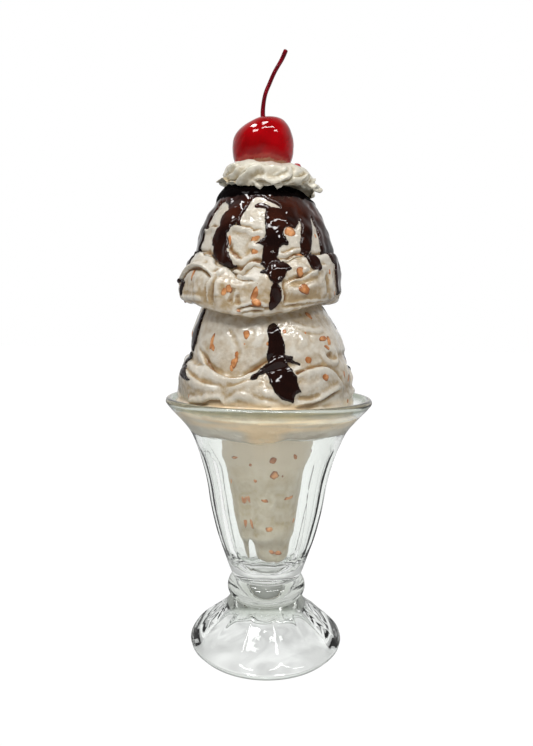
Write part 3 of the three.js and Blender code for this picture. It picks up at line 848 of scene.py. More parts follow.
def make_cherry():
    """The cherry, with a low shoulder at the left, uneven cheeks, a lighter red band round its foot that is a
    painted reflection of the cream, and smeared pale cream below that.
    """
    piece = cast_copy("cherry", "cherry_cast")
    modify(piece, "SUBSURF", levels=2, render_levels=2)
    points = points_of(piece)
    side = (points[:, 0] - CHERRY_MIDDLE[0]) / CHERRY_RADIUS
    upper = eased((points[:, 2] - CHERRY_MIDDLE[2]) / CHERRY_RADIUS)
    points[:, 2] -= upper * (CHERRY_PRESSED + CHERRY_SHOULDER * eased(-side / 0.7))
    points[:, 0] += CHERRY_CHEEKS * eased((CHERRY_MIDDLE[2] - points[:, 2]) / CHERRY_RADIUS) * side
    move_points(piece, points)
    roughen(piece, *CHERRY_GRAIN)
    points = points_of(piece)
    height = points[:, 2]
    # The lower band is a painted reflection of the cream; the pale edge under it is smeared cream.
    wavy = waves(points, FOOT_BAND_FREQUENCY)
    under_top = 1 - eased((height - CREAM_REFLECTION_TOP - CREAM_REFLECTION_WAVER * wavy) / CREAM_REFLECTION_SOFT)
    under_edge = 1 - eased((height - SMEAR_EDGE + wavy) / SMEAR_EDGE_SOFT)
    mark(piece, "cream_reflection_and_smear", under_top + under_edge)
    smooth_shaded(piece)
    return piece


def make_stem():
    """The stalk: a round rod swept along its route, thicker at both ends."""
    route = spline(STEM_ROUTE, STEM_STEP)
    bpy.ops.mesh.primitive_cylinder_add(vertices=STEM_SIDES, radius=MM, depth=MM, end_fill_type="NGON")
    stem = bpy.context.object
    with open_mesh(stem) as shape:
        uprights = [edge for edge in shape.edges if edge.verts[0].co.z * edge.verts[1].co.z < 0]
        bmesh.ops.subdivide_edges(shape, edges=uprights, cuts=len(route) - 2, use_grid_fill=True)
    points = points_of(stem)
    along = points[:, 2] + 0.5
    lengths = np.concatenate([[0], np.cumsum(np.linalg.norm(np.diff(route, axis=0), axis=1))])
    lengths /= lengths[-1]
    slope = np.gradient(route, axis=0)
    slope /= np.linalg.norm(slope, axis=1)[:, None]
    middle_x, middle_z = (np.interp(along, lengths, column) for column in route.T)
    lean_x, lean_z = (np.interp(along, lengths, column) for column in slope.T)
    thickness = np.interp(along, *np.array(STEM_RADII).T)
    across = points[:, 0] * thickness
    placed = [middle_x + across * lean_z, points[:, 1] * thickness, middle_z - across * lean_x]
    move_points(stem, np.stack(placed, axis=1))
    stem.name = "cherry_stalk"
    modify(stem, "BEVEL", width=STEM_BEVEL * MM, segments=2, limit_method="ANGLE", angle_limit=radians(50))
    smooth_shaded(stem, edge_angle=60)
    return stem


def make_cherry_scrap():
    """A scrap of a second cherry, half sunk in the cream behind the first one."""
    bpy.ops.mesh.primitive_ico_sphere_add(subdivisions=4, radius=MM)
    scrap = bpy.context.object
    scrap.name = "cherry_scrap"
    unit = points_of(scrap)
    uneven = 1 + SCRAP_UNEVEN * waves(unit, 1.2)
    move_points(scrap, unit * uneven[:, None] * SCRAP_SIZE + SCRAP_MIDDLE)
    smooth_shaded(scrap)
    return scrap


# ---------------------------------------------------------------- sauce and nuts

SAUCE_DEPTH = 1.15
SAUCE_EDGE = 1.0
SAUCE_SINK = 0.4
SAUCE_THICKEST = 1.3
SAUCE_FULL = SAUCE_SINK + SAUCE_THICKEST * SAUCE_DEPTH
SAUCE_FILLET = 1.4
SAUCE_WELD = 0.04
SAUCE_CALM_ROUNDS = 24

# Uneven edges and thickness: (frequency, height) of the waves.
SAUCE_WAVER = [(0.4, 0.35), (1.1, 0.3)]
SAUCE_SWELL = (0.16, 0.35)
SAUCE_LEAST = 0.8

# How far a height above the cap's edge counts, the fillets round patches, a sheet's margin until it is cut,
# and how close to the line is on it.
CAP_SLOPE = 0.8
PATCH_FILLET = 0.5
BARE_FILLET = 0.6
SHEET_MARGIN = 2.5
ON_THE_LINE = 0.04

# Painted shade: the sauce is black in the shadow under the cream, and darker below the dome and on the lower
# scoop.
SHADOW_UNDER_CREAM = 247.2
BELOW_DOME = (226, 240)
LOWER_SAUCE = (180, 190)

# Steps along a run, how far from it distances are measured, and the distance that stands for far away.
RUN_STEP = 0.7
RUN_REACH = 12
FAR_AWAY = 20.0


def joined(a, b, fillet):
    """The smaller of two distances, with a fillet where they are alike."""
    overlap = np.clip(1 - np.abs(a - b) / fillet, 0, 1)
    return np.minimum(a, b) - overlap**2 * fillet / 4


def outside_runs(skin, runs, points, fillet):
    """How far outside the runs each point lies, in mm. It is negative inside them."""
    outside = np.full(len(points), FAR_AWAY)
    for rows in runs:
        line, _, half_width = skin.line(rows, RUN_STEP)
        near = in_box(points, line, RUN_REACH)
        distance = np.linalg.norm(points[near][:, None] - line[None], axis=2) - half_width[:, 0]
        outside[near] = joined(outside[near], distance.min(1), fillet)
    return outside


def outside_sauce(skin, points, runs, cap=None, bare=(), islets=()):
    """How far outside the sauce each point lies, with an unsteady edge."""
    outside = outside_runs(skin, runs, points, SAUCE_FILLET)
    if cap:
        edge = by_azimuth(cap, skin.azimuths(points))
        outside = joined(outside, (edge - points[:, 2]) * CAP_SLOPE, SAUCE_FILLET)
    if bare:
        outside = -joined(-outside, outside_runs(skin, bare, points, PATCH_FILLET), BARE_FILLET)
    if islets:
        outside = np.minimum(outside, outside_runs(skin, islets, points, PATCH_FILLET))
    return outside + sum(height * waves(points, frequency) for frequency, height in SAUCE_WAVER)


def cut_sheet(piece, outside):
    """Cuts a sheet along the line where outside is 0, and throws away what lies beyond it."""
    with open_mesh(piece) as shape:
        value = shape.verts.layers.float.new("outside")
        for vertex, reach in zip(shape.verts, outside):
            vertex[value] = reach if abs(reach) > ON_THE_LINE else 0.0
        crossing = {}
        for edge in shape.edges:
            a, b = (vertex[value] for vertex in edge.verts)
            if a * b < 0:
                crossing[edge] = a / (a - b)
        split = bmesh.ops.bisect_edges(shape, edges=list(crossing), cuts=1, edge_percents=crossing)
        on_line = [found for found in split["geom_split"] if isinstance(found, bmesh.types.BMVert)]
        for vertex in on_line:
            vertex[value] = 0.0
        new_ones = set(on_line)
        on_line += [vertex for vertex in shape.verts if vertex[value] == 0.0 and vertex not in new_ones]
        bmesh.ops.connect_verts(shape, verts=on_line)
        beyond = [face for face in shape.faces if max(vertex[value] for vertex in face.verts) > 0]
        bmesh.ops.delete(shape, geom=beyond, context="FACES")
        loose = [vertex for vertex in shape.verts if not vertex.link_faces]
        bmesh.ops.delete(shape, geom=loose, context="VERTS")


def keep_near(piece, outside, reach):
    """Throws away the part of a sheet that is further outside than this."""
    with open_mesh(piece) as shape:
        far = [vertex for vertex, away in zip(shape.verts, outside) if away > reach]
        bmesh.ops.delete(shape, geom=far, context="VERTS")


def thicken(piece, thickness):
    """Gives a sheet its thickness at each vertex, as a part of SAUCE_FULL."""
    group = piece.vertex_groups.new(name="thickness")
    for index, weight in enumerate(thickness):
        group.add([index], float(weight), "REPLACE")
    modify(piece, "SOLIDIFY", thickness=SAUCE_FULL * MM, offset=1, vertex_group=group.name, use_rim=True)
    piece.vertex_groups.clear()


def pour_sauce(skin, name, *shape):
    """Sauce that has run down a scoop: a closed skin with rounded edges that follows the scoop's surface."""
    piece = new_piece(name, skin.piece.data.copy())
    for layer in ("hollow", "golden"):
        if layer in piece.data.attributes:
            piece.data.attributes.remove(piece.data.attributes[layer])
    keep_near(piece, outside_sauce(skin, skin.points, *shape), SHEET_MARGIN)
    edit(piece, (bpy.ops.mesh.subdivide, {"number_cuts": 1, "smoothness": 0}))
    cut_sheet(piece, outside_sauce(skin, points_of(piece), *shape))
    edit(piece, welding(SAUCE_WELD))
    points = points_of(piece)
    inside = -outside_sauce(skin, points, *shape)
    calm = relaxed(points, piece, SAUCE_CALM_ROUNDS)
    points = points + (calm - points) * eased(inside / SAUCE_EDGE)[:, None]
    rise = np.sqrt(1 - (1 - np.clip(inside / SAUCE_EDGE, 0, 1)) ** 2)
    frequency, height = SAUCE_SWELL
    swell = SAUCE_LEAST + height * waves(points, frequency)
    move_points(piece, points - normals_of(piece) * SAUCE_SINK)
    thicken(piece, (SAUCE_SINK + SAUCE_DEPTH * rise * swell) / SAUCE_FULL)
    points = points_of(piece)
    height = points[:, 2]
    # Painted shade: black in the shadow under the cream, darker lower down.
    darker = eased((height - SHADOW_UNDER_CREAM + 0.8 * waves(points, 0.5)) / 0.8)
    darker += 0.5 * (1 - rising(height, *BELOW_DOME)) + 0.2 * (1 - rising(height, *LOWER_SAUCE))
    mark(piece, "sauce_shade", darker)
    smooth_shaded(piece)
    return piece


# How deep a nut sits, how much wider it is than it shows, how thick it is (and how much thicker for each mm
# of its width), how much of that is left after wear, and how uneven it is.
NUT_SINK = 0.4
NUT_SPREAD = 1.12
NUT_THICKNESS = 0.6
NUT_WORN = 0.8
NUT_THICKER = 0.04
NUT_CHIPPED = 0.25
NUT_CHIP_WAVES = 1.2
NUT_PITTED = 0.12
NUT_PIT_WAVES = 2.6

# Where chance puts nuts: these azimuths, and these distances from each other and from the sauce. Then their
# width, length and turn.
BACK_AND_SIDES = (84, 282)
NUT_SPACING = 9
NUT_TO_SAUCE = 3.4
NUT_WIDTHS = (2, 4.6)
NUT_LENGTHS = (2.6, 6)
NUT_TURNS = (-60, 60)


def make_nut(skin, seed, azimuth, height, width, length, turn):
    """One chip of nut, set in the surface, longer than wide, with an uneven outline and a flat worn top."""
    point, normal = skin.place(azimuth, height)
    bpy.ops.mesh.primitive_ico_sphere_add(subdivisions=3, radius=MM)
    nut = bpy.context.object
    unit = points_of(nut)
    shift = Vector((seed * 3.7, seed * 1.3, 0))
    chipped = 1 + NUT_CHIPPED * waves(unit * (1, 1, 0), NUT_CHIP_WAVES, shift)
    pitted = NUT_PITTED * waves(unit, NUT_PIT_WAVES, -shift)
    thickness = NUT_THICKNESS + NUT_THICKER * min(width, length)
    shaped = unit * (width / 2 * NUT_SPREAD, length / 2 * NUT_SPREAD, thickness)
    shaped[:, :2] *= chipped[:, None]
    shaped[:, 2] = np.minimum(shaped[:, 2] + pitted, thickness * NUT_WORN) - NUT_SINK
    mark(nut, "edge", np.hypot(unit[:, 0], unit[:, 1]))
    out = Vector(normal)
    up = (Vector((0, 0, 1)) - out * out.z).normalized()
    up = Matrix.Rotation(radians(turn), 3, out) @ up
    move_points(nut, shaped @ np.array([up.cross(out), up, out]) + point)
    return nut


def scatter_back(skin, low, high, count, seed, avoid=()):
    """Nuts for the sides and back, drawn by chance but clear of the sauce and of each other."""
    draw = random.Random(seed)
    nuts = []
    placed = []
    while len(nuts) < count:
        azimuth = draw.uniform(*BACK_AND_SIDES)
        height = draw.uniform(low, high)
        point, _ = skin.place(azimuth, height)
        crowded = any(np.linalg.norm(point - other) < NUT_SPACING for other in placed)
        if crowded or (avoid and outside_runs(skin, avoid, point[None], 1)[0] < NUT_TO_SAUCE):
            continue
        placed.append(point)
        nuts.append((azimuth, height, draw.uniform(*NUT_WIDTHS), draw.uniform(*NUT_LENGTHS),
                     draw.uniform(*NUT_TURNS)))
    return nuts


def make_nuts(name, skin, nuts):
    """All the nuts of a scoop or of the plug, as one piece."""
    made = [make_nut(skin, seed, *nut) for seed, nut in enumerate(nuts)]
    choose(made[0])
    for nut in made:
        nut.select_set(True)
    bpy.ops.object.join()
    piece = bpy.context.object
    piece.name = name
    piece.data.name = name
    choose(piece)
    bpy.ops.object.transform_apply(location=True, rotation=True, scale=True)
    smooth_shaded(piece)
    return piece


# ---------------------------------------------------------------- glass

# The outline: rounding of the base ring, the knob's curve and height, and the distance between points.
RING_ROUNDING = 0.5
KNOB_CURVE = 7.4
KNOB_HEIGHT = 34.2
FOOT_STEP = 1.2
BOWL_STEP = 2

# What is this far out from the inner surface is outside.
INNER_SKIN = 1.2

# By height: the flutes on the bowl and the foot, and the thicker glass of the knob and the lip.
BOWL_FLUTES = (45, 61, 110, 119)
FOOT_FLUTES = (5, 11, 20, 25)
THICK_KNOB = (22, 26, 38, 44)
KNOB_TINT = 0.7
THICK_LIP = 138.6
THICK_LIP_EDGE = 1.6


def arc(centre, radius, start, end, count):
    """Points on an arc in the outline's plane, between two angles in degrees."""
    turns = np.radians(np.linspace(start, end, count))
    return [(centre[0] + radius * cos(t), centre[1] + radius * sin(t)) for t in turns]


def glass_outline():
    """Half of the section, from the top of the foot's hollow round the outside to the bowl's floor."""
    hollow = [(BASE_RING["inner"] * t, FOOT_HOLLOW_HEIGHT * (1 - t * t)) for t in np.linspace(0, 1, 24)]
    base = arc((BASE_RING["outer"] - RING_ROUNDING, RING_ROUNDING), RING_ROUNDING, -90, -20, 4)
    knob = arc((KNOB_RADIUS - KNOB_CURVE, KNOB_HEIGHT), KNOB_CURVE, -50, 60, 14)
    lip_middle = (RIM_RADIUS - LIP_BEAD_RADIUS, GLASS_HEIGHT - LIP_BEAD_RADIUS)
    lip = arc(lip_middle, LIP_BEAD_RADIUS, -45, 170, 14)
    inside = spline(bowl_inner, BOWL_STEP)[::-1]
    return [*hollow, *base, *spline(foot_outer, FOOT_STEP), *knob, *spline(bowl_outer, BOWL_STEP), *lip,
            *inside, (4, BOWL_FLOOR), (0, BOWL_FLOOR)]


def make_glass():
    """The pressed glass: its outline is spun round the axis, and the flutes are then pressed in outside."""
    corners = [(r * MM, 0, z * MM) for r, z in glass_outline()]
    mesh = bpy.data.meshes.new("tulip_glass")
    mesh.from_pydata(corners, [(i, i + 1) for i in range(len(corners) - 1)], [])
    piece = new_piece("tulip_glass", mesh)
    whole_turn = {"angle": 2 * pi, "center": (0, 0, 0), "axis": (0, 0, 1)}
    edit(piece, (bpy.ops.mesh.spin, {"steps": FLUTES * STEPS_PER_FLUTE, **whole_turn}), welding(WELD),
         (bpy.ops.mesh.normals_make_consistent, {"inside": False}))
    points = points_of(piece)
    radius = np.hypot(points[:, 0], points[:, 1])
    height = points[:, 2]
    dome = BASE_RING["inner"] * np.sqrt(np.clip(1 - height / FOOT_HOLLOW_HEIGHT, 0, 1))
    under_bowl = np.where(height < FOOT_HOLLOW_HEIGHT, dome, 0)
    within = np.where(height > BOWL_FLOOR - 0.1, bowl_radius(height), under_bowl)
    outside = radius > within + INNER_SKIN
    pitch = 2 * pi / FLUTES
    turned = (np.arctan2(points[:, 1], points[:, 0]) + pi / 2 - radians(FLUTE_TURN)) / pitch + 0.5
    across = 2 * (turned - np.floor(turned)) - 1
    depth = BOWL_FLUTE_DEPTH * band(height, *BOWL_FLUTES) + FOOT_FLUTE_DEPTH * band(height, *FOOT_FLUTES)
    pressed = depth * (1 - across**2) * outside
    points[:, :2] *= (1 - pressed / np.maximum(radius, 1))[:, None]
    move_points(piece, points)
    lip = eased((height - THICK_LIP) / THICK_LIP_EDGE)
    mark(piece, "thick", np.maximum(lip, KNOB_TINT * band(height, *THICK_KNOB)))
    smooth_shaded(piece, edge_angle=40)
    return piece


# ---------------------------------------------------------------- materials

# The sockets of a mix node's two inputs and its output, by the kind of data.
MIX_SOCKETS = {"RGBA": (6, 7, 2), "FLOAT": (2, 3, 0)}

# What the wash leaves of the paint under it, where it is thickest. It is the antique wash, and painted shade
# too.
WASH_BROWN = (0.57, 0.43, 0.26, 1)
WASH_OLIVE = (0.64, 0.53, 0.36, 1)


def new_material(name, **settings):
    """A Principled material with these values on the shader's own sockets."""
    material = bpy.data.materials.new(name)
    material.use_nodes = True
    shader = material.node_tree.nodes["Principled BSDF"]
    for socket, value in settings.items():
        shader.inputs[socket.replace("_", " ")].default_value = value
    return material, material.node_tree, shader


def feed(tree, socket, value):
    """Links a socket to another node's output, or sets its value."""
    if isinstance(value, bpy.types.NodeSocket):
        tree.links.new(value, socket)
    else:
        socket.default_value = value


def node(tree, kind, **settings):
    """A node with these properties, and then these inputs."""
    made = tree.nodes.new("ShaderNode" + kind)
    for name, value in settings.items():
        if name in made.bl_rna.properties:
            setattr(made, name, value)
        else:
            feed(tree, made.inputs[name.replace("_", " ")], value)
    return made


def maths(tree, operation, *values, kind="Math", **settings):
    made = node(tree, kind, operation=operation, **settings)
    for socket, value in zip(made.inputs, values):
        feed(tree, socket, value)
    return made.outputs["Value"]


def mapped(tree, value, start, end, low=0.0, high=1.0):
    """Takes a value's range from start to end over to low to high, and holds it outside."""
    made = node(tree, "MapRange", Value=value, From_Min=start, From_Max=end, To_Min=low, To_Max=high)
    return made.outputs["Result"]


def mixed(tree, factor, one, other, kind="RGBA", blend="MIX"):
    first, second, result = MIX_SOCKETS[kind]
    made = node(tree, "Mix", data_type=kind, blend_type=blend, Factor=factor)
    feed(tree, made.inputs[first], one)
    feed(tree, made.inputs[second], other)
    return made.outputs[result]


def clouds_at(tree, size, **settings):
    """Noise that stays with the piece."""
    place = node(tree, "TexCoord").outputs["Object"]
    return node(tree, "TexNoise", Vector=place, Scale=size, **settings).outputs["Fac"]


def attribute_of(tree, name):
    return node(tree, "Attribute", attribute_name=name).outputs["Fac"]


def tint(red, green, blue):
    """An sRGB colour, 0 to 255, as Blender's linear colour."""
    linear = [v / 255 / 12.92 if v <= 10 else ((v / 255 + 0.055) / 1.055) ** 2.4 for v in (red, green, blue)]
    return (*linear, 1)


def new_group(name, inputs, outputs):
    """A node group with named inputs and outputs, the sockets that it is given and the node of its result."""
    group = bpy.data.node_groups.new(name, "ShaderNodeTree")
    for socket, kind in inputs.items():
        group.interface.new_socket(socket, in_out="INPUT", socket_type="NodeSocket" + kind)
    for socket, kind in outputs.items():
        group.interface.new_socket(socket, in_out="OUTPUT", socket_type="NodeSocket" + kind)
    return group, group.nodes.new("NodeGroupInput").outputs, group.nodes.new("NodeGroupOutput")


def build_wash_group():
    """Paint under a thin wash that multiplies it: some lies all over in clouds, the rest in hollows and as
    painted shade.
    """
    group, given, result = new_group(
        "antique_wash",
        {"Base": "Color", "Wash": "Color", **dict.fromkeys(("Broad", "Fine", "Clouds", "Settled"), "Float")},
        {"Color": "Color"})
    broad, fine = (clouds_at(group, given[size], Detail=4.0, Roughness=0.6, Distortion=0.5)
                   for size in ("Broad", "Fine"))
    clouds = maths(group, "MULTIPLY", mapped(group, broad, 0.32, 0.72), given["Clouds"])
    # The hollow value: antique wash in hollows, with painted shade and painted light.
    depth = mapped(group, attribute_of(group, "hollow"), -0.35, 0.6)
    wash_and_shade = maths(group, "MULTIPLY_ADD", depth, given["Settled"], clouds)
    amount = maths(group, "MULTIPLY", wash_and_shade, mapped(group, fine, 0.3, 0.66, 0.55), use_clamp=True)
    painted = mixed(group, amount, given["Base"], given["Wash"], blend="MULTIPLY")
    feed(group, result.inputs["Color"], painted)
    return group


def build_ripple_group():
    """Height of a brushed varnish: broad ripples with finer ones on them, from 0 to 1."""
    sizes = {"Size": "Float", "Fine": "Float"}
    group, given, result = new_group("brushed_varnish", sizes, {"Height": "Float"})
    broad, fine = (clouds_at(group, given[size], Detail=2.0, Roughness=0.5) for size in sizes)
    feed(group, result.inputs["Height"], mixed(group, 0.25, broad, fine, "FLOAT"))
    return group


wash_group = build_wash_group()
ripple_group = build_ripple_group()


def add_ripple(tree, shader, size, fine, strength, distance):
    """Brushed varnish: how many ripples there are in a metre, how strong they are and how deep, in mm."""
    ripple = node(tree, "Group", node_tree=ripple_group, Size=size, Fine=fine)
    bump = node(tree, "Bump", Strength=strength, Distance=distance * MM, Height=ripple.outputs["Height"])
    feed(tree, shader.inputs["Normal"], bump.outputs["Normal"])


def add_wash(tree, shader, base, wash, **values):
    """A base coat under a wash."""
    paint = node(tree, "Group", node_tree=wash_group, Base=base, Wash=wash, **values)
    feed(tree, shader.inputs["Base Color"], paint.outputs["Color"])


def add_clouds(tree, shader, size, one, other):
    """A base colour that drifts between two tints."""
    mask = mapped(tree, clouds_at(tree, size, Detail=3.0), 0.35, 0.65)
    feed(tree, shader.inputs["Base Color"], mixed(tree, mask, one, other))


def add_touch(tree, shader, attribute, start, end, colour, blend="MIX"):
    """Goes over the base colour with another one, where an attribute rises from start to end."""
    under = shader.inputs["Base Color"].links[0].from_socket
    mask = mapped(tree, attribute_of(tree, attribute), start, end)
    feed(tree, shader.inputs["Base Color"], mixed(tree, mask, under, colour, blend=blend))
    return mask


def scoop_paint():
    material, tree, shader = new_material(
        "varnished_vanilla", Roughness=0.5, Coat_Weight=1.0, Coat_Roughness=0.06, Coat_IOR=1.5)
    add_wash(tree, shader, tint(227, 222, 210), WASH_BROWN, Broad=38, Fine=170, Clouds=0.62, Settled=1.0)
    # Deeper brown where the hollow value is highest: the antique wash in deep creases, and painted shade
    # under eaves and skirts.
    add_touch(tree, shader, "hollow", 0.8, 2.0, tint(190, 154, 112), "MULTIPLY")
    # Gold: the food's peach colour, lightened as painted light in the flare and by the rim.
    add_touch(tree, shader, "golden", 0, 1, tint(255, 228, 188))
    add_ripple(tree, shader, size=250, fine=800, strength=1.0, distance=1.0)
    return material


def plug_paint():
    material, tree, shader = new_material("satin_vanilla", Roughness=0.4)
    # The plug's base is darker and greyer than the scoops': partly its own beige-grey paint, partly painted
    # shade for the inside of the glass.
    add_wash(tree, shader, tint(204, 196, 182), WASH_OLIVE, Broad=46, Fine=170, Clouds=0.85, Settled=0.7)
    # Lighter towards the top: painted light.
    add_touch(tree, shader, "painted_light", 0, 1, tint(240, 226, 204))
    add_ripple(tree, shader, size=160, fine=600, strength=0.6, distance=0.9)
    return material


def cream_paint():
    material, tree, shader = new_material("satin_cream", Roughness=0.4, Coat_Weight=0.7, Coat_Roughness=0.12)
    add_wash(tree, shader, tint(226, 221, 205), WASH_OLIVE, Broad=90, Fine=300, Clouds=0.2, Settled=0.9)
    add_ripple(tree, shader, size=300, fine=900, strength=0.4, distance=0.6)
    return material


def fudge_paint():
    material, tree, shader = new_material(
        "fudge", Roughness=0.3, Specular_IOR_Level=0.0, Coat_Weight=1.0, Coat_Roughness=0.03)
    add_clouds(tree, shader, 90, tint(34, 13, 9), tint(66, 29, 17))
    # Painted shade: black in the shadow under the cream, where the coat is also taken away so that it shows
    # no reflection.
    sauce_shade = add_touch(tree, shader, "sauce_shade", 0, 1, tint(8, 5, 5))
    feed(tree, shader.inputs["Coat Weight"], mapped(tree, sauce_shade, 0.8, 1.0, 1.0, 0.04))
    add_ripple(tree, shader, size=45, fine=160, strength=0.12, distance=0.6)
    return material


def nut_paint():
    material, tree, shader = new_material("toasted_nut", Roughness=0.45, Coat_Weight=0.6, Coat_Roughness=0.1)
    add_clouds(tree, shader, 340, tint(224, 160, 104), tint(172, 104, 54))
    add_touch(tree, shader, "edge", 0.6, 0.95, tint(136, 80, 40))
    add_ripple(tree, shader, size=500, fine=1200, strength=0.5, distance=0.4)
    return material


def cherry_paint():
    material, tree, shader = new_material(
        "cherry_skin", Roughness=0.3, Specular_IOR_Level=0.0, Coat_Weight=1.0, Coat_Roughness=0.03)
    add_clouds(tree, shader, 70, tint(178, 0, 10), tint(142, 0, 5))
    # A lighter red band round the foot is a painted reflection of the cream; the pale edge is smeared cream.
    add_touch(tree, shader, "cream_reflection_and_smear", 0, 1, tint(184, 62, 56))
    add_touch(tree, shader, "cream_reflection_and_smear", 1, 2, tint(212, 160, 132))
    add_ripple(tree, shader, size=120, fine=300, strength=0.6, distance=0.8)
    return material


def stem_paint():
    material, tree, shader = new_material(
        "cherry_stalk", Roughness=0.35, Specular_IOR_Level=0.2, Coat_Weight=0.8, Coat_Roughness=0.08)
    add_clouds(tree, shader, 200, tint(128, 0, 22), tint(84, 0, 14))
    add_ripple(tree, shader, size=300, fine=900, strength=0.3, distance=0.3)
    return material


def clear_glass():
    """Clear glass, greyer at its edges and where it is thick, that lets the lamps reach what is inside it."""
    material, tree, shader = new_material(
        "clear_pressed_glass", Roughness=0.0, IOR=1.5, Transmission_Weight=1.0)
    edge = node(tree, "LayerWeight", Blend=0.45).outputs["Facing"]
    feed(tree, shader.inputs["Base Color"], mixed(tree, edge, tint(252, 254, 252), tint(230, 234, 230)))
    add_ripple(tree, shader, size=45, fine=130, strength=0.55, distance=0.5)
    add_touch(tree, shader, "thick", 0, 1, tint(168, 173, 160), "MULTIPLY")
    shadow = node(tree, "BsdfTransparent", Color=tint(246, 250, 247))
    passing = node(tree, "MixShader", Fac=node(tree, "LightPath").outputs["Is Shadow Ray"])
    feed(tree, passing.inputs[1], shader.outputs["BSDF"])
    feed(tree, passing.inputs[2], shadow.outputs["BSDF"])
    feed(tree, tree.nodes["Material Output"].inputs["Surface"], passing.outputs["Shader"])
    return material


# ---------------------------------------------------------------- building the sundae


def finish_piece(piece, material, replaced=None):
    piece.data.materials.clear()
    piece.data.materials.append(material)
    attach(piece, "root")
    if replaced:
        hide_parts(replaced)


def build_sundae():
    finish_piece(make_glass(), clear_glass(), "glass")
    plug = make_plug()
    lower = make_lower_scoop()
    upper = make_upper_scoop()
    cream = make_cream()
    fudge = fudge_paint()
    nuts = nut_paint()
    vanilla = scoop_paint()
    upper_sauce = pour_sauce(upper, "upper_fudge", UPPER_RUNS, UPPER_CAP, UPPER_BARE, UPPER_ISLETS)
    lower_sauce = pour_sauce(lower, "lower_fudge", LOWER_RUNS)
    finish_piece(upper_sauce, fudge)
    finish_piece(lower_sauce, fudge)
    upper_nuts = UPPER_NUTS + scatter_back(upper, low=196, high=238, count=22, seed=5, avoid=UPPER_RUNS)
    lower_nuts = LOWER_NUTS + scatter_back(lower, low=146, high=184, count=24, seed=7, avoid=LOWER_RUNS)
    plug_nuts = PLUG_NUTS + scatter_back(plug, low=56, high=114, count=18, seed=9)
    finish_piece(make_nuts("upper_nuts", upper, upper_nuts), nuts)
    finish_piece(make_nuts("lower_nuts", lower, lower_nuts), nuts)
    finish_piece(make_nuts("plug_nuts", plug, plug_nuts), nuts)
    finish_piece(plug.piece, plug_paint(), "ice_cream_plug")
    finish_piece(lower.piece, vanilla, "lower_scoop")
    finish_piece(upper.piece, vanilla, "upper_scoop")
    finish_piece(cream.piece, cream_paint(), "whipped_cream")
    red = cherry_paint()
    finish_piece(make_cherry(), red, "cherry")
    finish_piece(make_cherry_scrap(), red)
    finish_piece(make_stem(), stem_paint(), "cherry_stem")


# ---------------------------------------------------------------- studio

CAMERA_PLACE = (-1.5, -335.2, 183.1)
CAMERA_DIP = 4.64
CAMERA_ROLL = 0.78
FOCAL_PIXELS = 600
PICTURE_HEIGHT_PIXELS = 746
SENSOR = 36
CLIP_START = 0.01

# Panels of light that reflections show, as azimuth, elevation and the sines of their half width and half
# height.
WINDOWS = [(-76, 66, 0.16, 0.035), (14, 74, 0.12, 0.05), (27, 53, 0.26, 0.018), (-30, 45, 0.1, 0.05),
           (54, 38, 0.08, 0.02)]
WINDOW_EDGE = 0.03
WINDOW_STRENGTH = 18
FACING = (0.2, 0.3)

# Lamps: azimuth, elevation, distance, width and height in metres, and power. They face the sundae's middle.
LAMPS = {
    "key": (-30, 44, 1.0, 0.26, 0.18, 3.5),
    "second": (30, 42, 1.1, 0.2, 0.18, 2.7),
    "top": (2, 60, 0.95, 0.22, 0.1, 2.4),
}
SUNDAE_MIDDLE = Vector((0, 0, 0.19))

# The floor, in metres: its width and how far it lies under the glass.
FLOOR_WIDTH = 8
FLOOR_DROP = 0.0002

# Seen through the glass, a painted shadow of the glass on the floor: how dim the floor is under the foot, and
# how far from the foot that ends, in metres.
UNDER_FOOT = 0.6
AROUND_FOOT = (0.08, 0.17)

# The world's light, as a range of a direction's part and the light at its ends: what reflections show along
# Y, and what shows through the glass along the diagonals and up Z.
ROOM = (-0.15, 0.95, 0.06, 0.75)
GAPS = (0.32, 0.48, 0.96, 0.55)
CEILING = (0.12, 0.55, 1.0, 0.45)

# How much brighter the world is as a light than in reflections.
ROOM_FILL = 0.14

WHITE = (1, 1, 1, 1)
BLACK = (0, 0, 0, 1)
FLOOR_GREY = (0.4, 0.4, 0.4, 1)
FLOOR_PALE = (0.85, 0.85, 0.85, 1)


def make_camera():
    data = bpy.data.cameras.new("camera")
    data.sensor_width = SENSOR
    data.lens = SENSOR * FOCAL_PIXELS / PICTURE_HEIGHT_PIXELS
    data.clip_start = CLIP_START
    camera = new_piece("camera", data)
    aim = Matrix.Rotation(radians(90 - CAMERA_DIP), 4, "X") @ Matrix.Rotation(radians(CAMERA_ROLL), 4, "Z")
    camera.matrix_world = Matrix.Translation(Vector(CAMERA_PLACE) * MM) @ aim
    bpy.context.scene.camera = camera


def direction(azimuth, elevation):
    """The unit vector that points this way from the sundae. Azimuth 0 is the front, 90 the right."""
    turn, rise = radians(azimuth), radians(elevation)
    return Vector((sin(turn) * cos(rise), -cos(turn) * cos(rise), sin(rise)))


def make_lamp(name, azimuth, elevation, distance, width, height, power):
    data = bpy.data.lights.new(name, "AREA")
    data.shape = "RECTANGLE"
    data.size = width
    data.size_y = height
    data.energy = power
    lamp = new_piece(name, data)
    lamp.visible_glossy = False
    away = direction(azimuth, elevation)
    lamp.location = SUNDAE_MIDDLE + away * distance
    lamp.rotation_euler = away.to_track_quat("Z", "Y").to_euler()


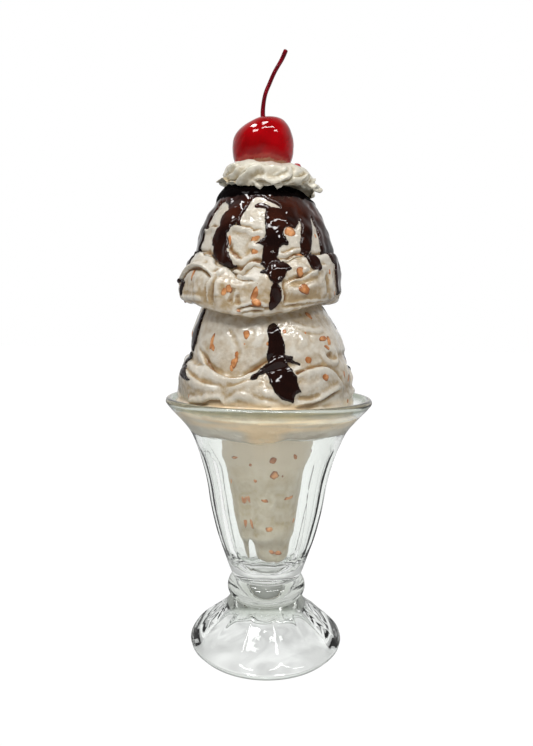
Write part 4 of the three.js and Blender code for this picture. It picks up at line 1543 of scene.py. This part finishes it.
def make_floor():
    """White to the eye and grey to the food. Seen through the glass, it is dimmer under the foot: a painted
    shadow of the glass, wavering with painted light.
    """
    bpy.ops.mesh.primitive_plane_add(size=FLOOR_WIDTH, location=(0, 0, -FLOOR_DROP))
    floor = bpy.context.object
    floor.name = "floor"
    material, tree, shader = new_material("pale_floor", Roughness=0.9, Emission_Color=WHITE)
    seen = node(tree, "LightPath").outputs
    by_eye, through_glass = seen["Is Camera Ray"], seen["Is Transmission Ray"]
    from_foot = maths(tree, "LENGTH", node(tree, "TexCoord").outputs["Object"], kind="VectorMath")
    # Painted shadow of the glass round its foot, with wavering painted light from the glass in it.
    wavering = maths(tree, "MULTIPLY_ADD", clouds_at(tree, 42.0, Detail=2.0, Distortion=1.2), 0.2, from_foot)
    painted_glass_shadow = mapped(tree, wavering, *AROUND_FOOT, UNDER_FOOT)
    glow = maths(tree, "MULTIPLY_ADD", through_glass, painted_glass_shadow, by_eye, use_clamp=True)
    feed(tree, shader.inputs["Emission Strength"], glow)
    either = maths(tree, "MAXIMUM", through_glass, by_eye)
    bounced = mixed(tree, seen["Is Diffuse Ray"], FLOOR_GREY, FLOOR_PALE)
    feed(tree, shader.inputs["Base Color"], mixed(tree, either, bounced, BLACK))
    floor.data.materials.append(material)


def add_window(tree, place, azimuth, elevation, half_width, half_height):
    """Where in the world a panel of light is: 1 inside it, 0 beyond its soft edge."""
    towards = direction(azimuth, elevation)
    across = direction(azimuth + 90, 0)
    shape = mapped(tree, maths(tree, "DOT_PRODUCT", place, towards, kind="VectorMath"), *FACING)
    for axis, half in ((across, half_width), (towards.cross(across), half_height)):
        aside = maths(tree, "ABSOLUTE", maths(tree, "DOT_PRODUCT", place, axis, kind="VectorMath"))
        shape = maths(tree, "MULTIPLY", shape, mapped(tree, aside, half + WINDOW_EDGE, half))
    return shape


def make_world():
    """A white backdrop that falls off to a dim room in front. Through the glass it has darker gaps."""
    world = bpy.data.worlds.new("studio")
    bpy.context.scene.world = world
    world.use_nodes = True
    tree = world.node_tree
    place = node(tree, "TexCoord").outputs["Generated"]
    parts = node(tree, "SeparateXYZ", Vector=place).outputs
    seen = node(tree, "LightPath").outputs
    room = mapped(tree, parts["Y"], *ROOM)
    diagonal = maths(tree, "ABSOLUTE", maths(tree, "MULTIPLY", parts["X"], parts["Y"]))
    gaps = mapped(tree, diagonal, *GAPS)
    ceiling = mapped(tree, parts["Z"], *CEILING)
    windows = 0.0
    for window in WINDOWS:
        windows = maths(tree, "MAXIMUM", add_window(tree, place, *window), windows)
    reflected = maths(tree, "MULTIPLY", seen["Is Glossy Ray"], windows)
    glow = maths(tree, "MULTIPLY_ADD", reflected, WINDOW_STRENGTH, room)
    fill = maths(tree, "MULTIPLY_ADD", seen["Is Diffuse Ray"], ROOM_FILL, glow)
    through = mixed(tree, seen["Is Transmission Ray"], fill, maths(tree, "MULTIPLY", gaps, ceiling), "FLOAT")
    background = tree.nodes["Background"]
    background.inputs["Color"].default_value = WHITE
    feed(tree, background.inputs["Strength"], mixed(tree, seen["Is Camera Ray"], through, 1.0, "FLOAT"))


def build_studio():
    bpy.context.scene.view_settings.view_transform = "Standard"
    make_world()
    make_floor()
    for name, settings in LAMPS.items():
        make_lamp(name, *settings)
    make_camera()


build_sundae()
build_studio()
